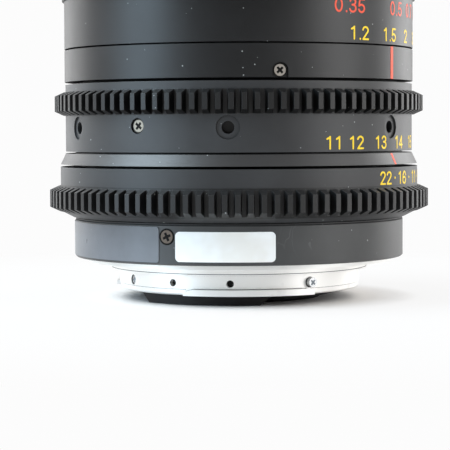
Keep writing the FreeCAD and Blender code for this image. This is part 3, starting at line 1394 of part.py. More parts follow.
os.makedirs("parts", exist_ok=True)
for name, shape in all_parts().items():
    shape.exportStep("parts/%s.step" % name)
    print(name, "solids", len(shape.Solids), "volume", round(shape.Volume, 1), shape.isValid())
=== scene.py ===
import json
import math

import bmesh
import bpy
from mathutils import Matrix, Vector


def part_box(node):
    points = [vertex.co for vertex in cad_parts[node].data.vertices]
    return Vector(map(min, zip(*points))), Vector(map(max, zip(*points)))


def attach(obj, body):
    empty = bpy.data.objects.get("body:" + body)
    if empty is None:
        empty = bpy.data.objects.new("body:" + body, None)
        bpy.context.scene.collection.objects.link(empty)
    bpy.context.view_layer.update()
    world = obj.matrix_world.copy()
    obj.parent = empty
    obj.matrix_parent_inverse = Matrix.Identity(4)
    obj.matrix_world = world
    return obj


# Looks of a wide-angle zoom lens that stands on its bayonet. Z is up, and the index lines
# face -Y. Lengths are in metres, or in millimetres where a comment says so. Azimuths are
# in degrees from -Y towards +X.

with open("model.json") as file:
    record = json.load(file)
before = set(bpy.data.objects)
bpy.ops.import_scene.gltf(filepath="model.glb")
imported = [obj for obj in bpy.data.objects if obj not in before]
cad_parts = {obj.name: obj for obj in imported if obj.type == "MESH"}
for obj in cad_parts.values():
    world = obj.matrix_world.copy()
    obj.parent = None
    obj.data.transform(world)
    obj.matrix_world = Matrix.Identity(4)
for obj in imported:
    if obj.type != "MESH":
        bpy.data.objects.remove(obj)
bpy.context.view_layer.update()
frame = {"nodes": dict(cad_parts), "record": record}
nodes = frame["nodes"]

MM = 0.001

# Texture scales, in waves or cells to the metre
GRAIN_SCALE = 5200.0
TURNED_SCALE = 900.0
CLOUD_SCALE = 70.0
DIRT_SCALE = 640.0
FLUFF_SCALE = 260.0
SCRATCH_SCALE = 190.0
SCRATCH_DRIFT_SCALE = 160.0
RUB_SCALE = 55.0
STREAK_SCALE = 1400.0
TARNISH_SCALE = 140.0
MOULD_SCALE = 2600.0
SHADE_SCALE = 90.0
PAINT_SCALE = 1800.0
SMEAR_SCALE = 60.0

# Noise: octaves of fine, usual and cloudy noise, and how strong each octave is
FINE_DETAIL = 2.0
NOISE_DETAIL = 3.0
CLOUD_DETAIL = 4.0
NOISE_ROUGHNESS = 0.6

# Stretch of the textures that run round or along the lens
TURNED_STRETCH = (0.15, 0.15, 6.0)
FLUFF_STRETCH = (1.0, 1.0, 0.45)
SCRATCH_STRETCH = (1.0, 1.0, 0.55)
STREAK_STRETCH = (0.2, 0.2, 8.0)

# Dust: its colour, speck sizes as shares of a cell, how much of it is fluff, and how it shows
DUST_GREY = (0.42, 0.43, 0.42)
DIRT_SIZE = 0.12
FLUFF_SIZE = 0.07
FLUFF_SHARE = 0.5
DUST_STRENGTH = 0.6
DUST_ROUGHNESS = 0.3

# Scratches: bend in metres, width as a share of a cell, and the noise range of a rubbed patch
SCRATCH_BEND = 0.012
SCRATCH_WIDTH = 0.018
RUBBED = (0.60, 0.72)

# Anodising: its gloss, spread of roughness, lighter clouds, and grain with its depth in metres
ANODISED_GLOSS = 0.50
ANODISED_SPREAD = 0.16
CLOUDED = (0.35, 0.75)
CLOUD_LIGHTER = 1.5
CLOUD_RAISE = 0.001
TURNED_SHARE = 0.5
BLASTED_DEPTH = 0.000012

# Painted shade: its black, its reach past the teeth in metres, and how far a pit is closed
PAINTED_SHADE_BLACK = (0.0024, 0.0024, 0.0025)
TOOTH_END = 0.0006
CORNER_SAMPLES = 12
PIT_SHADE_RANGE = (0.4, 0.8)

# Metal: its spread of roughness, tarnish, painted shade in corners, and depth of streaks in metres
METAL_SPREAD = 0.12
TARNISHED = (0.62, 0.8)
TARNISH_DARKER = 0.45
TARNISH_STRENGTH = 0.36
CORNER_SHADE_COLOUR = (0.012, 0.011, 0.010)
CORNER_SHADE_RANGE = (0.62, 0.86)
STREAK_DEPTH = 0.000006

# Plastic: its spread of roughness, lighter shades, and depth of mould texture in metres
PLASTIC_SPREAD = 0.2
SHADED = (0.4, 0.7)
SHADE_LIGHTER = 1.35
SHADE_RAISE = 0.003
MOULD_DEPTH = 0.00002

# Paint, with its depth in metres, and glass
FLAWED = (0.58, 0.8)
FLAW_DARKER = 0.72
PAINT_ROUGHNESS = 0.5
PAINT_DEPTH = 0.00002
GLASS_COLOUR = (0.68, 0.75, 0.73, 1.0)
GLASS_IOR = 1.6
GLASS_GLOSS = 0.1
COAT_WEIGHT = 0.05
COAT_ROUGHNESS = 0.02
SMEARED = (0.55, 0.9)
SMEAR_ROUGHNESS = 0.05


def direction(azimuth, elevation=0.0):
    """A unit vector from the axis at an azimuth and an elevation in degrees."""
    turn = math.radians(azimuth)
    lift = math.radians(elevation)
    level = math.cos(lift)
    return Vector((math.sin(turn) * level, -math.cos(turn) * level, math.sin(lift)))


# Shader helpers

# The colour sockets of a mix node
MIX_COLOURS = slice(6, 8)
MIX_RESULT = 2


def new_material(name):
    """A material with its node tree and its shader."""
    material = bpy.data.materials.new(name)
    material.use_nodes = True
    tree = material.node_tree
    return material, tree, tree.nodes["Principled BSDF"]


def add(tree, kind, **values):
    """Adds a node and sets its input sockets by name."""
    node = tree.nodes.new(kind)
    for key, value in values.items():
        node.inputs[key.replace("_", " ")].default_value = value
    return node


def math_node(tree, operation, first, second, clamp=False):
    """A maths node on two values, each a number or another node's socket."""
    node = tree.nodes.new("ShaderNodeMath")
    node.operation = operation
    node.use_clamp = clamp
    for socket, value in zip(node.inputs, (first, second)):
        if isinstance(value, (int, float)):
            socket.default_value = value
        else:
            tree.links.new(value, socket)
    return node.outputs[0]


def vector_node(tree, operation, first, second=None):
    """A vector maths node on a socket and, where it takes one, another socket or a vector."""
    node = tree.nodes.new("ShaderNodeVectorMath")
    node.operation = operation
    tree.links.new(first, node.inputs[0])
    if isinstance(second, tuple):
        node.inputs[1].default_value = second
    elif second is not None:
        tree.links.new(second, node.inputs[1])
    return node


def ramp(tree, factor, low, high):
    """A straight ramp from 0 at low to 1 at high."""
    node = tree.nodes.new("ShaderNodeMapRange")
    node.inputs["From Min"].default_value = low
    node.inputs["From Max"].default_value = high
    tree.links.new(factor, node.inputs["Value"])
    return node.outputs[0]


def mix_colour(tree, factor, first, second):
    """The first colour where the factor is 0 and the second where it is 1."""
    node = tree.nodes.new("ShaderNodeMix")
    node.data_type = "RGBA"
    tree.links.new(factor, node.inputs[0])
    for socket, value in zip(node.inputs[MIX_COLOURS], (first, second)):
        if isinstance(value, tuple):
            socket.default_value = (*value, 1.0)
        else:
            tree.links.new(value, socket)
    return node.outputs[MIX_RESULT]


def mix_shader(tree, factor, first, second):
    """The first shader where the factor is 0 and the second where it is 1."""
    node = tree.nodes.new("ShaderNodeMixShader")
    tree.links.new(factor, node.inputs[0])
    tree.links.new(first, node.inputs[1])
    tree.links.new(second, node.inputs[2])
    return node.outputs[0]


def place(tree, scale=(1.0, 1.0, 1.0)):
    """Object coordinates, stretched by a scale."""
    where = tree.nodes.new("ShaderNodeTexCoord")
    mapping = tree.nodes.new("ShaderNodeMapping")
    mapping.inputs["Scale"].default_value = scale
    tree.links.new(where.outputs["Object"], mapping.inputs["Vector"])
    return mapping.outputs[0]


def noise(tree, where, scale, detail=NOISE_DETAIL, roughness=NOISE_ROUGHNESS):
    """Cloudy noise from 0 to 1."""
    node = add(tree, "ShaderNodeTexNoise", Scale=scale, Detail=detail, Roughness=roughness)
    tree.links.new(where, node.inputs["Vector"])
    return node.outputs["Fac"]


def specks(tree, where, scale, share, size):
    """1 on a few small round specks of dust, and 0 elsewhere."""
    cells = add(tree, "ShaderNodeTexVoronoi", Scale=scale)
    tree.links.new(where, cells.inputs["Vector"])
    split = tree.nodes.new("ShaderNodeSeparateColor")
    tree.links.new(cells.outputs["Color"], split.inputs[0])
    chosen = math_node(tree, "LESS_THAN", split.outputs[0], share)
    reach = math_node(tree, "MULTIPLY", split.outputs[1], size)
    near = math_node(tree, "LESS_THAN", cells.outputs["Distance"], reach)
    return math_node(tree, "MULTIPLY", chosen, near)


def bump(tree, shader, height, distance, edge=0.0):
    """Raises the surface by a height, and rounds its edges by a radius in metres."""
    node = add(tree, "ShaderNodeBump", Distance=distance)
    tree.links.new(height, node.inputs["Height"])
    if edge:
        rounded = add(tree, "ShaderNodeBevel", Radius=edge)
        tree.links.new(rounded.outputs[0], node.inputs["Normal"])
    tree.links.new(node.outputs[0], shader.inputs["Normal"])


def openness(tree, reach):
    """1 in the open and less in grooves, slots and inside corners, within a reach in metres."""
    node = add(tree, "ShaderNodeAmbientOcclusion", Distance=reach)
    node.samples = CORNER_SAMPLES
    return node.outputs["AO"]


def between(tree, heights):
    """1 between two heights in metres, and 0 elsewhere."""
    split = tree.nodes.new("ShaderNodeSeparateXYZ")
    tree.links.new(place(tree), split.inputs[0])
    above = math_node(tree, "GREATER_THAN", split.outputs[2], heights[0])
    below = math_node(tree, "LESS_THAN", split.outputs[2], heights[1])
    return math_node(tree, "MULTIPLY", above, below)


def within(tree, radius):
    """1 nearer to the optical axis than a radius in metres, and 0 elsewhere."""
    length = vector_node(tree, "LENGTH", place(tree, (1.0, 1.0, 0.0)))
    return math_node(tree, "LESS_THAN", length.outputs["Value"], radius)


def toothed_span(node, radius):
    """Heights in metres just past both ends of the teeth that reach over a radius in millimetres."""
    tips = [
        corner.co.z for corner in nodes[node].data.vertices
        if math.hypot(corner.co.x, corner.co.y) > radius * MM
    ]
    return min(tips) - TOOTH_END, max(tips) + TOOTH_END


def scuffs(tree, share):
    """Faint scratches that gather in a few rubbed patches."""
    where = place(tree, SCRATCH_STRETCH)
    drift = add(tree, "ShaderNodeTexNoise", Scale=SCRATCH_DRIFT_SCALE, Detail=NOISE_DETAIL)
    tree.links.new(where, drift.inputs["Vector"])
    bent = vector_node(tree, "SCALE", drift.outputs["Color"])
    bent.inputs["Scale"].default_value = SCRATCH_BEND
    warped = vector_node(tree, "ADD", where, bent.outputs[0])
    cells = add(tree, "ShaderNodeTexVoronoi", Scale=SCRATCH_SCALE)
    cells.feature = "DISTANCE_TO_EDGE"
    tree.links.new(warped.outputs[0], cells.inputs["Vector"])
    line = math_node(tree, "LESS_THAN", cells.outputs["Distance"], SCRATCH_WIDTH)
    patch = ramp(tree, noise(tree, place(tree), RUB_SCALE, FINE_DETAIL), *RUBBED)
    return math_node(tree, "MULTIPLY", math_node(tree, "MULTIPLY", line, patch), share)


def anodised(
    name, colour, roughness, dust=0.45, edge=0.0, wear=0.0, gloss=ANODISED_GLOSS,
    teeth=None, tooth_shade=PAINTED_SHADE_BLACK, pit_shade=0.0, core_shade=0.0,
):
    """Satin anodised or lacquered aluminium with a blasted grain, faint scratches and dust.

    It is painted near black, as painted shade, between the heights of its teeth, in pits of a
    depth in metres, and inside a core of a radius in metres.
    """
    material, tree, shader = new_material(name)
    where = place(tree)
    fine = noise(tree, where, GRAIN_SCALE, FINE_DETAIL)
    cloud = noise(tree, where, CLOUD_SCALE, CLOUD_DETAIL)
    turned = noise(tree, place(tree, TURNED_STRETCH), TURNED_SCALE, FINE_DETAIL)
    dirt = specks(tree, where, DIRT_SCALE, dust, DIRT_SIZE)
    stretched = place(tree, FLUFF_STRETCH)
    fluff = specks(tree, stretched, FLUFF_SCALE, dust * FLUFF_SHARE, FLUFF_SIZE)
    marks = math_node(tree, "MAXIMUM", dirt, fluff)
    marks = math_node(tree, "MULTIPLY", marks, DUST_STRENGTH)
    if wear:
        marks = math_node(tree, "MAXIMUM", marks, scuffs(tree, wear))
    lighter = tuple(value * CLOUD_LIGHTER + CLOUD_RAISE for value in colour)
    base = mix_colour(tree, ramp(tree, cloud, *CLOUDED), colour, lighter)
    # Painted shade: near black in pits, across the band of teeth, and inside the core seen through
    # holes
    if pit_shade:
        base = mix_colour(tree, ramp(tree, openness(tree, pit_shade), *PIT_SHADE_RANGE), PAINTED_SHADE_BLACK, base)
    if teeth:
        base = mix_colour(tree, between(tree, teeth), base, tooth_shade)
    if core_shade:
        base = mix_colour(tree, within(tree, core_shade), base, PAINTED_SHADE_BLACK)
    base = mix_colour(tree, marks, base, DUST_GREY)
    tree.links.new(base, shader.inputs["Base Color"])
    rough = math_node(tree, "MULTIPLY", cloud, ANODISED_SPREAD)
    rough = math_node(tree, "ADD", rough, roughness - ANODISED_SPREAD / 2)
    dusty = math_node(tree, "MULTIPLY", marks, DUST_ROUGHNESS)
    rough = math_node(tree, "ADD", rough, dusty, True)
    tree.links.new(rough, shader.inputs["Roughness"])
    shader.inputs["Specular IOR Level"].default_value = gloss
    height = math_node(tree, "ADD", fine, math_node(tree, "MULTIPLY", turned, TURNED_SHARE))
    bump(tree, shader, height, BLASTED_DEPTH, edge)
    return material


def metal(name, colour, roughness, edge=0.0, corner=0.0008, metallic=1.0):
    """Turned or plated metal with fine circular streaks, and painted shade in its corners."""
    material, tree, shader = new_material(name)
    lines = noise(tree, place(tree, STREAK_STRETCH), STREAK_SCALE)
    cloud = noise(tree, place(tree), TARNISH_SCALE, CLOUD_DETAIL)
    dark = tuple(value * TARNISH_DARKER for value in colour)
    spots = math_node(tree, "MULTIPLY", ramp(tree, cloud, *TARNISHED), TARNISH_STRENGTH)
    base = mix_colour(tree, spots, colour, dark)
    # Painted shade: base colour darkens in corners and grooves
    base = mix_colour(tree, ramp(tree, openness(tree, corner), *CORNER_SHADE_RANGE), CORNER_SHADE_COLOUR, base)
    tree.links.new(base, shader.inputs["Base Color"])
    shader.inputs["Metallic"].default_value = metallic
    rough = math_node(tree, "MULTIPLY", lines, METAL_SPREAD)
    rough = math_node(tree, "ADD", rough, roughness - METAL_SPREAD / 2)
    tree.links.new(rough, shader.inputs["Roughness"])
    bump(tree, shader, lines, STREAK_DEPTH, edge)
    return material


def plastic(name, colour, roughness, depth=MOULD_DEPTH, gloss=0.5):
    """Moulded plastic, lacquer or foil with a fine texture."""
    material, tree, shader = new_material(name)
    where = place(tree)
    fine = noise(tree, where, MOULD_SCALE, FINE_DETAIL)
    cloud = noise(tree, where, SHADE_SCALE)
    lighter = tuple(min(1.0, value * SHADE_LIGHTER + SHADE_RAISE) for value in colour)
    base = mix_colour(tree, ramp(tree, cloud, *SHADED), colour, lighter)
    tree.links.new(base, shader.inputs["Base Color"])
    rough = math_node(tree, "MULTIPLY", fine, PLASTIC_SPREAD)
    rough = math_node(tree, "ADD", rough, roughness - PLASTIC_SPREAD / 2)
    tree.links.new(rough, shader.inputs["Roughness"])
    shader.inputs["Specular IOR Level"].default_value = gloss
    bump(tree, shader, fine, depth)
    return material


def ink(name, colour, painted_glow):
    """Paint that fills an engraving, with small flaws in its surface and a faint painted glow."""
    material, tree, shader = new_material(name)
    fine = noise(tree, place(tree), PAINT_SCALE)
    darker = tuple(value * FLAW_DARKER for value in colour)
    base = mix_colour(tree, ramp(tree, fine, *FLAWED), colour, darker)
    tree.links.new(base, shader.inputs["Base Color"])
    shader.inputs["Roughness"].default_value = PAINT_ROUGHNESS
    # Painted light: the paint glows faintly in its own colour
    tree.links.new(base, shader.inputs["Emission Color"])
    shader.inputs["Emission Strength"].default_value = painted_glow
    bump(tree, shader, fine, PAINT_DEPTH)
    return material


def coated_glass(name, tint):
    """Clear optical glass, whose coating takes most of its reflections away."""
    material, tree, shader = new_material(name)
    smear = noise(tree, place(tree), SMEAR_SCALE)
    shader.inputs["Base Color"].default_value = GLASS_COLOUR
    rough = math_node(tree, "MULTIPLY", ramp(tree, smear, *SMEARED), SMEAR_ROUGHNESS)
    tree.links.new(rough, shader.inputs["Roughness"])
    shader.inputs["Transmission Weight"].default_value = 1.0
    shader.inputs["IOR"].default_value = GLASS_IOR
    shader.inputs["Specular IOR Level"].default_value = GLASS_GLOSS
    shader.inputs["Coat Weight"].default_value = COAT_WEIGHT
    shader.inputs["Coat Roughness"].default_value = COAT_ROUGHNESS
    shader.inputs["Specular Tint"].default_value = (*tint, 1.0)
    return material


# Engraved figures, drawn as strokes of one width in a box one unit high

STROKE = 0.136
HALF = STROKE / 2
FIGURE_TOP = 1.0 - HALF
FIGURE_STEP = 0.815
POINT_STEP = 0.40
FIGURE_STRETCH = 1.24
INFINITY_POINTS = 40
INFINITY_MIDDLE = (0.50, 0.42)
INFINITY_REACH = (0.46, 0.62)
STROKE_END_SIDES = 12

# Printed surfaces, in millimetres: radii, the cone's taper, and how far paint is over and under
FOCUS_RADIUS = 37.05
ZOOM_RADIUS = 36.9
APERTURE_RADIUS = 38.05
INDEX_RADIUS = 37.05
CONE_TAPER = 1.1
INK_LIFT = 0.02
INK_DEPTH = 0.06
STROKE_LIFT = 0.0006
STROKE_LEVELS = 9
DOT_RADIUS = 0.24
BAR_STEPS = 4

# Each figure and its azimuth, and the heights of each row of figures in millimetres
FEET_MARKS = (("1.2", -17.2), ("1.5", -2.05), ("2", 10.4), ("3", 23.0), ("5", 33.7), ("inf", 45.6))
METRE_MARKS = (
    ("0.35", -21.2), ("0.5", 2.25), ("0.7", 15.0), ("1", 26.2), ("2", 37.4), ("inf", 45.6),
)
ZOOM_MARKS = (("11", -27.6), ("12", -18.35), ("13", -6.8), ("14", 5.05), ("15", 17.7), ("16", 30.5))
APERTURE_MARKS = (
    ("22", -6.7), ("16", 3.5), ("11", 14.9), ("8", 25.9), ("5.6", 37.0), ("4", 48.0), ("3", 57.5),
)
FEET_Z = (53.2, 55.95)
METRE_Z = (58.5, 61.4)
ZOOM_Z = (31.55, 34.25)
APERTURE_Z = (24.35, 27.05)

# The index lines: azimuth, and in millimetres their widths and the room left at their ends
INDEX_AZIMUTH = -0.9
FOCUS_INDEX_WIDTH = 1.02
ZOOM_INDEX_WIDTH = 0.72
FOCUS_INDEX_END = 0.02
ZOOM_INDEX_END = 0.04


def bend(centre, radii, start, end, steps=14):
    """Points on an elliptical arc between two angles in degrees."""
    points = []
    for number in range(steps + 1):
        angle = math.radians(start + (end - start) * number / steps)
        x = centre[0] + radii[0] * math.cos(angle)
        y = centre[1] + radii[1] * math.sin(angle)
        points.append((x, y))
    return points


def infinity_loop():
    """Points round the infinity sign."""
    points = []
    for number in range(INFINITY_POINTS + 1):
        angle = 2.0 * math.pi * number / INFINITY_POINTS
        share = 1.0 + math.sin(angle) ** 2
        x = INFINITY_MIDDLE[0] + INFINITY_REACH[0] * math.cos(angle) / share
        y = INFINITY_MIDDLE[1] + INFINITY_REACH[1] * math.sin(angle) * math.cos(angle) / share
        points.append((x, y))
    return points


# The lines that the cutter follows for each figure
FIGURES = {
    "0": [bend((0.29, 0.5), (0.285 - HALF, 0.5 - HALF), 0, 360, 32)],
    "1": [[(0.35, HALF), (0.35, FIGURE_TOP), (0.28, 0.85), (0.15, 0.775)]],
    "2": [bend((0.28, 0.715), (0.215, 0.222), 172, -32) + [(0.07, HALF), (0.52, HALF)]],
    "3": [
        bend((0.285, 0.735), (0.195, 0.2025), 165, -90) + [(0.24, 0.5325)],
        [(0.24, 0.5325), (0.285, 0.5325)] + bend((0.285, 0.2975), (0.22, 0.235), 90, -165),
    ],
    "4": [[(0.42, HALF), (0.42, FIGURE_TOP), (0.06, 0.30), (0.56, 0.30)]],
    "5": [
        [(0.49, FIGURE_TOP), (0.15, FIGURE_TOP), (0.09, 0.48)]
        + bend((0.28, 0.315), (0.22, 0.2525), 125, -160)
    ],
    "6": [
        bend((0.285, 0.30), (0.22, 0.2375), 0, 360, 24),
        bend((0.30, 0.44), (0.235, 0.4975), 30, 200),
    ],
    "7": [[(0.05, FIGURE_TOP), (0.51, FIGURE_TOP), (0.34, 0.6), (0.21, HALF)]],
    "8": [
        bend((0.285, 0.735), (0.19, 0.2025), 0, 360, 22),
        bend((0.285, 0.2975), (0.22, 0.235), 0, 360, 24),
    ],
    ".": [[(0.16, HALF), (0.16, HALF + 0.02)]],
    "inf": [infinity_loop()],
}


def ribbon(path, half_width):
    """A quad round each straight part of a path."""
    faces = []
    for first, second in zip(path, path[1:]):
        start = Vector(first)
        end = Vector(second)
        along = (end - start).normalized()
        side = Vector((-along.y, along.x)) * half_width
        faces.append([start - side, end - side, end + side, start + side])
    return faces


def ring_points(radius, sides):
    """Points round a circle about zero."""
    angles = [2 * math.pi * number / sides for number in range(sides)]
    return [Vector((radius * math.cos(angle), radius * math.sin(angle))) for angle in angles]


def joint_disc(centre, radius):
    """A round face, which is a dot or fills a stroke's bends and ends."""
    return [Vector(centre) + point for point in ring_points(radius, STROKE_END_SIDES)]


def text_outlines(text, height):
    """Flat faces of a line of figures, centred on zero, in millimetres."""
    words = ["inf"] if text == "inf" else list(text)
    cursor = 0.0
    faces = []
    for word in words:
        for path in FIGURES[word]:
            moved = [(x * FIGURE_STRETCH + cursor, y) for x, y in path]
            faces += ribbon(moved, HALF)
            faces += [joint_disc(point, HALF) for point in moved]
        cursor += POINT_STEP if word == "." else FIGURE_STEP
    across = [point.x for face in faces for point in face]
    middle = (min(across) + max(across)) / 2
    return [
        [Vector(((point.x - middle) * height, point.y * height)) for point in face]
        for face in faces
    ]


def finished_piece(name, mesh, material, body):
    """Makes a piece of the lens from a mesh, and lets it ride on a body."""
    bmesh.ops.recalc_face_normals(mesh, faces=mesh.faces)
    data = bpy.data.meshes.new(name)
    mesh.to_mesh(data)
    mesh.free()
    piece = bpy.data.objects.new(name, data)
    bpy.context.scene.collection.objects.link(piece)
    data.materials.append(material)
    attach(piece, body)


def wrapped(name, faces, radius_at, azimuth, material, body):
    """Wraps flat faces round the lens as thin fillings of paint.

    Each face is a closed wafer that stands a little proud of the surface.
    """
    mesh = bmesh.new()
    for number, face in enumerate(faces):
        lift = INK_LIFT + STROKE_LIFT * (number % STROKE_LEVELS)
        rings = []
        for offset in (-INK_DEPTH, lift):
            ring = []
            for point in face:
                radius = radius_at(point.y) + offset
                angle = math.radians(azimuth) + point.x / radius_at(point.y)
                x = radius * math.sin(angle) * MM
                y = -radius * math.cos(angle) * MM
                ring.append(mesh.verts.new((x, y, point.y * MM)))
            rings.append(ring)
        low, high = rings
        count = len(low)
        mesh.faces.new(high)
        mesh.faces.new(list(reversed(low)))
        for index in range(count):
            following = (index + 1) % count
            mesh.faces.new((low[index], low[following], high[following], high[index]))
    finished_piece(name, mesh, material, body)


def scale_marks(name, marks, heights, radius, material, body, dots=False):
    """One engraved scale on a ring, with its figures and any dots between them."""
    low, high = heights
    faces = []
    for text, azimuth in marks:
        shift = math.radians(azimuth) * radius
        for face in text_outlines(text, high - low):
            faces.append([Vector((point.x + shift, point.y + low)) for point in face])
    if dots:
        for (_, first), (_, second) in zip(marks, marks[1:]):
            shift = math.radians((first + second) / 2) * radius
            faces.append(joint_disc((shift, (low + high) / 2), DOT_RADIUS))
    wrapped(name, faces, lambda height: radius, 0.0, material, body)


def index_bar(name, node, width, end, radius_at):
    """A red line up a node of the barrel, in steps that follow its slope."""
    low, high = (corner[2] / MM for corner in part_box(node))
    low += end
    high -= end
    faces = []
    for number in range(BAR_STEPS):
        bottom = low + (high - low) * number / BAR_STEPS
        top = low + (high - low) * (number + 1) / BAR_STEPS
        faces.append([
            Vector((-width / 2, bottom)), Vector((width / 2, bottom)),
            Vector((width / 2, top)), Vector((-width / 2, top)),
        ])
    wrapped(name, faces, radius_at, INDEX_AZIMUTH, RED_INK, "barrel")


def index_cone_radius(height):
    """Radius of the conical ring at a height in millimetres."""
    low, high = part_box("index_ring")
    share = (height - low[2] / MM) / ((high[2] - low[2]) / MM)
    return high[0] / MM - CONE_TAPER * share


# Finishes of the CAD nodes, by material slot

# Metres; the mount's corner reach and the inserts' pit reach are for painted shade
FINE_EDGE = 0.0001
MOUNT_EDGE = 0.00005
MOUNT_CORNER_SHADE = 0.0003
FOIL_DEPTH = 0.000006
INSERT_PIT_SHADE = 0.002

# Radii in millimetres: where teeth start, bounding a band of painted shade, and within which a ring
# shows only in its holes and is painted with shade
ZOOM_TEETH_FROM = 38.6
APERTURE_TEETH_FROM = 38.8
HOLE_BOTTOM = 35.4

BAND_GREY = (0.022, 0.022, 0.023)
BAND_ROUGHNESS = 0.45

CHROMED_MOUNT = metal(
    "chromed_mount", (0.90, 0.885, 0.86), 0.40, MOUNT_EDGE, MOUNT_CORNER_SHADE, metallic=0.55
)
BRIGHT_STEEL = metal("bright_steel", (0.56, 0.52, 0.47), 0.34)
DARK_STEEL = metal("dark_steel", (0.11, 0.088, 0.072), 0.36)

MATERIALS = {
    "black_anodised": anodised("satin_black", (0.003, 0.003, 0.0034), 0.40),
    "black_gear": anodised("tooth_black", (0.002, 0.002, 0.002), 0.42, dust=0.6, edge=FINE_EDGE),
    "bright_mount": CHROMED_MOUNT,
    "steel_screw": BRIGHT_STEEL,
    "dark_screw": DARK_STEEL,
    "black_plastic": plastic("baffle_black", (0.006, 0.005, 0.005), 0.50, gloss=0.2),
    "gold_contact": metal("gold_plate", (0.90, 0.66, 0.26), 0.18),
    "board_green": plastic("board_lacquer", (0.02, 0.10, 0.045), 0.35),
    "plate_grey": anodised("plate_lacquer", (0.110, 0.112, 0.122), 0.30, dust=0.2),
    "label_white": plastic("label_foil", (0.88, 0.84, 0.79), 0.38, FOIL_DEPTH),
    "inner_black": anodised("inner_black", (0.004, 0.004, 0.004), 0.55, dust=0.1, gloss=0.25),
    "bare_aluminium": metal("greased_aluminium", (0.55, 0.56, 0.57), 0.32),
    "brass_key": metal("turned_brass", (0.72, 0.52, 0.22), 0.30),
    "nylon_washer": plastic("sliding_plastic", (0.01, 0.01, 0.01), 0.5),
    "blade_steel": metal("blackened_steel", (0.07, 0.07, 0.075), 0.42),
    "optical_glass": coated_glass("coated_glass", (0.16, 0.30, 0.29)),
}

# The bands are painted near black across their teeth, as painted shade in the gaps and on the flanks
BAND_BLACK = anodised(
    "band_black", BAND_GREY, BAND_ROUGHNESS, edge=FINE_EDGE,
    teeth=toothed_span("zoom_ring", ZOOM_TEETH_FROM), core_shade=HOLE_BOTTOM * MM,
)
IRIS_BAND_BLACK = anodised(
    "iris_band_black", BAND_GREY, BAND_ROUGHNESS, edge=FINE_EDGE,
    teeth=toothed_span("aperture_ring", APERTURE_TEETH_FROM), tooth_shade=(0.006, 0.006, 0.0062),
)
# The inserts get painted shade in their pits
INSERT_BLACK = anodised("insert_black", BAND_GREY, BAND_ROUGHNESS, edge=FINE_EDGE, pit_shade=INSERT_PIT_SHADE)
BARREL_BLACK = anodised("barrel_black", (0.002, 0.002, 0.002), 0.6, dust=0.05, gloss=0.1)
CONE_BLACK = anodised("cone_black", (0.005, 0.005, 0.0055), 0.42, gloss=0.66)
REAR_BLACK = anodised("rear_black", (0.036, 0.036, 0.036), 0.42, dust=0.3, wear=0.10)
YELLOW_INK = ink("yellow_paint", (0.92, 0.63, 0.006), painted_glow=0.12)
RED_INK = ink("red_paint", (0.82, 0.075, 0.026), painted_glow=0.14)
WORN_STEEL = metal("worn_steel", (0.22, 0.19, 0.155), 0.36)
SIDE_STEEL = metal("side_steel", (0.62, 0.63, 0.64), 0.28)
RECESS_SHADE_BLACK = plastic("recess_shade_black", (0.004, 0.0035, 0.003), 0.7, gloss=0.15)
RECESS_SHADE_GREY = plastic("recess_shade_grey", (0.20, 0.23, 0.26), 0.5)

# Nodes whose finish differs from that of their slot
SPECIAL = {
    "zoom_ring": BAND_BLACK,
    "aperture_ring": IRIS_BAND_BLACK,
    "index_ring": CONE_BLACK,
    "lever_inserts": INSERT_BLACK,
    "main_barrel": BARREL_BLACK,
    "rear_barrel": REAR_BLACK,
    "zoom_ring_screws": WORN_STEEL,
    "bayonet_side_screws": SIDE_STEEL,
}

for subpart in frame["record"]["subparts"]:
    node = nodes[subpart["node"]]
    finish = SPECIAL.get(subpart["node"], MATERIALS[subpart["material_slot"]])
    node.data.materials.clear()
    node.data.materials.append(finish)


# Printed scales and index lines

scale_marks("feet_scale", FEET_MARKS, FEET_Z, FOCUS_RADIUS, YELLOW_INK, "focus_control")
scale_marks(
    "metre_scale", METRE_MARKS, METRE_Z, FOCUS_RADIUS, RED_INK, "focus_control"
)
scale_marks("zoom_scale", ZOOM_MARKS, ZOOM_Z, ZOOM_RADIUS, YELLOW_INK, "zoom_control")
scale_marks(
    "aperture_scale", APERTURE_MARKS, APERTURE_Z, APERTURE_RADIUS, YELLOW_INK,
    "aperture_control", dots=True,
)
index_bar(
    "index_line", "index_barrel", FOCUS_INDEX_WIDTH, FOCUS_INDEX_END, lambda height: INDEX_RADIUS
)
index_bar("zoom_index_line", "index_ring", ZOOM_INDEX_WIDTH, ZOOM_INDEX_END, index_cone_radius)


# Faces of the screws that show, each with a cross recess cut at its own angle over a disc of painted
# shade

# Shares of a screw's radius
CROSS_ARM = 0.66
CROSS_HALF_WIDTH = 0.20
PLATE_SHARE = 0.97

# Millimetres
PLATE_THICKNESS = 0.05
PLATE_LIFT = 0.01
SHADOW_LIFT = 0.012
FACE_DEPTH = 0.02

# Degrees from one cross to the next, and the least between two screws
CROSS_TURN = 37.0
SCREW_GAP = 20.0

SCREW_SIDES = 40

# Node, body, finish, its slot, painted shade of the recess, first cross's angle, painted shade
# ring's share of radius, lift
SCREW_SETS = (
    ("rear_barrel_screws", "barrel", DARK_STEEL, "dark_screw", RECESS_SHADE_BLACK, 24.0, 1.23, 0.07),
    ("zoom_ring_screws", "zoom_control", WORN_STEEL, "steel_screw", RECESS_SHADE_BLACK, 50.0, 1.16, 0.0),
    ("index_barrel_screws", "barrel", BRIGHT_STEEL, "steel_screw", RECESS_SHADE_BLACK, 6.0, 1.14, 0.0),
    ("bayonet_side_screws", "barrel", SIDE_STEEL, "steel_screw", RECESS_SHADE_GREY, 12.0, 0.96, 0.0),
)


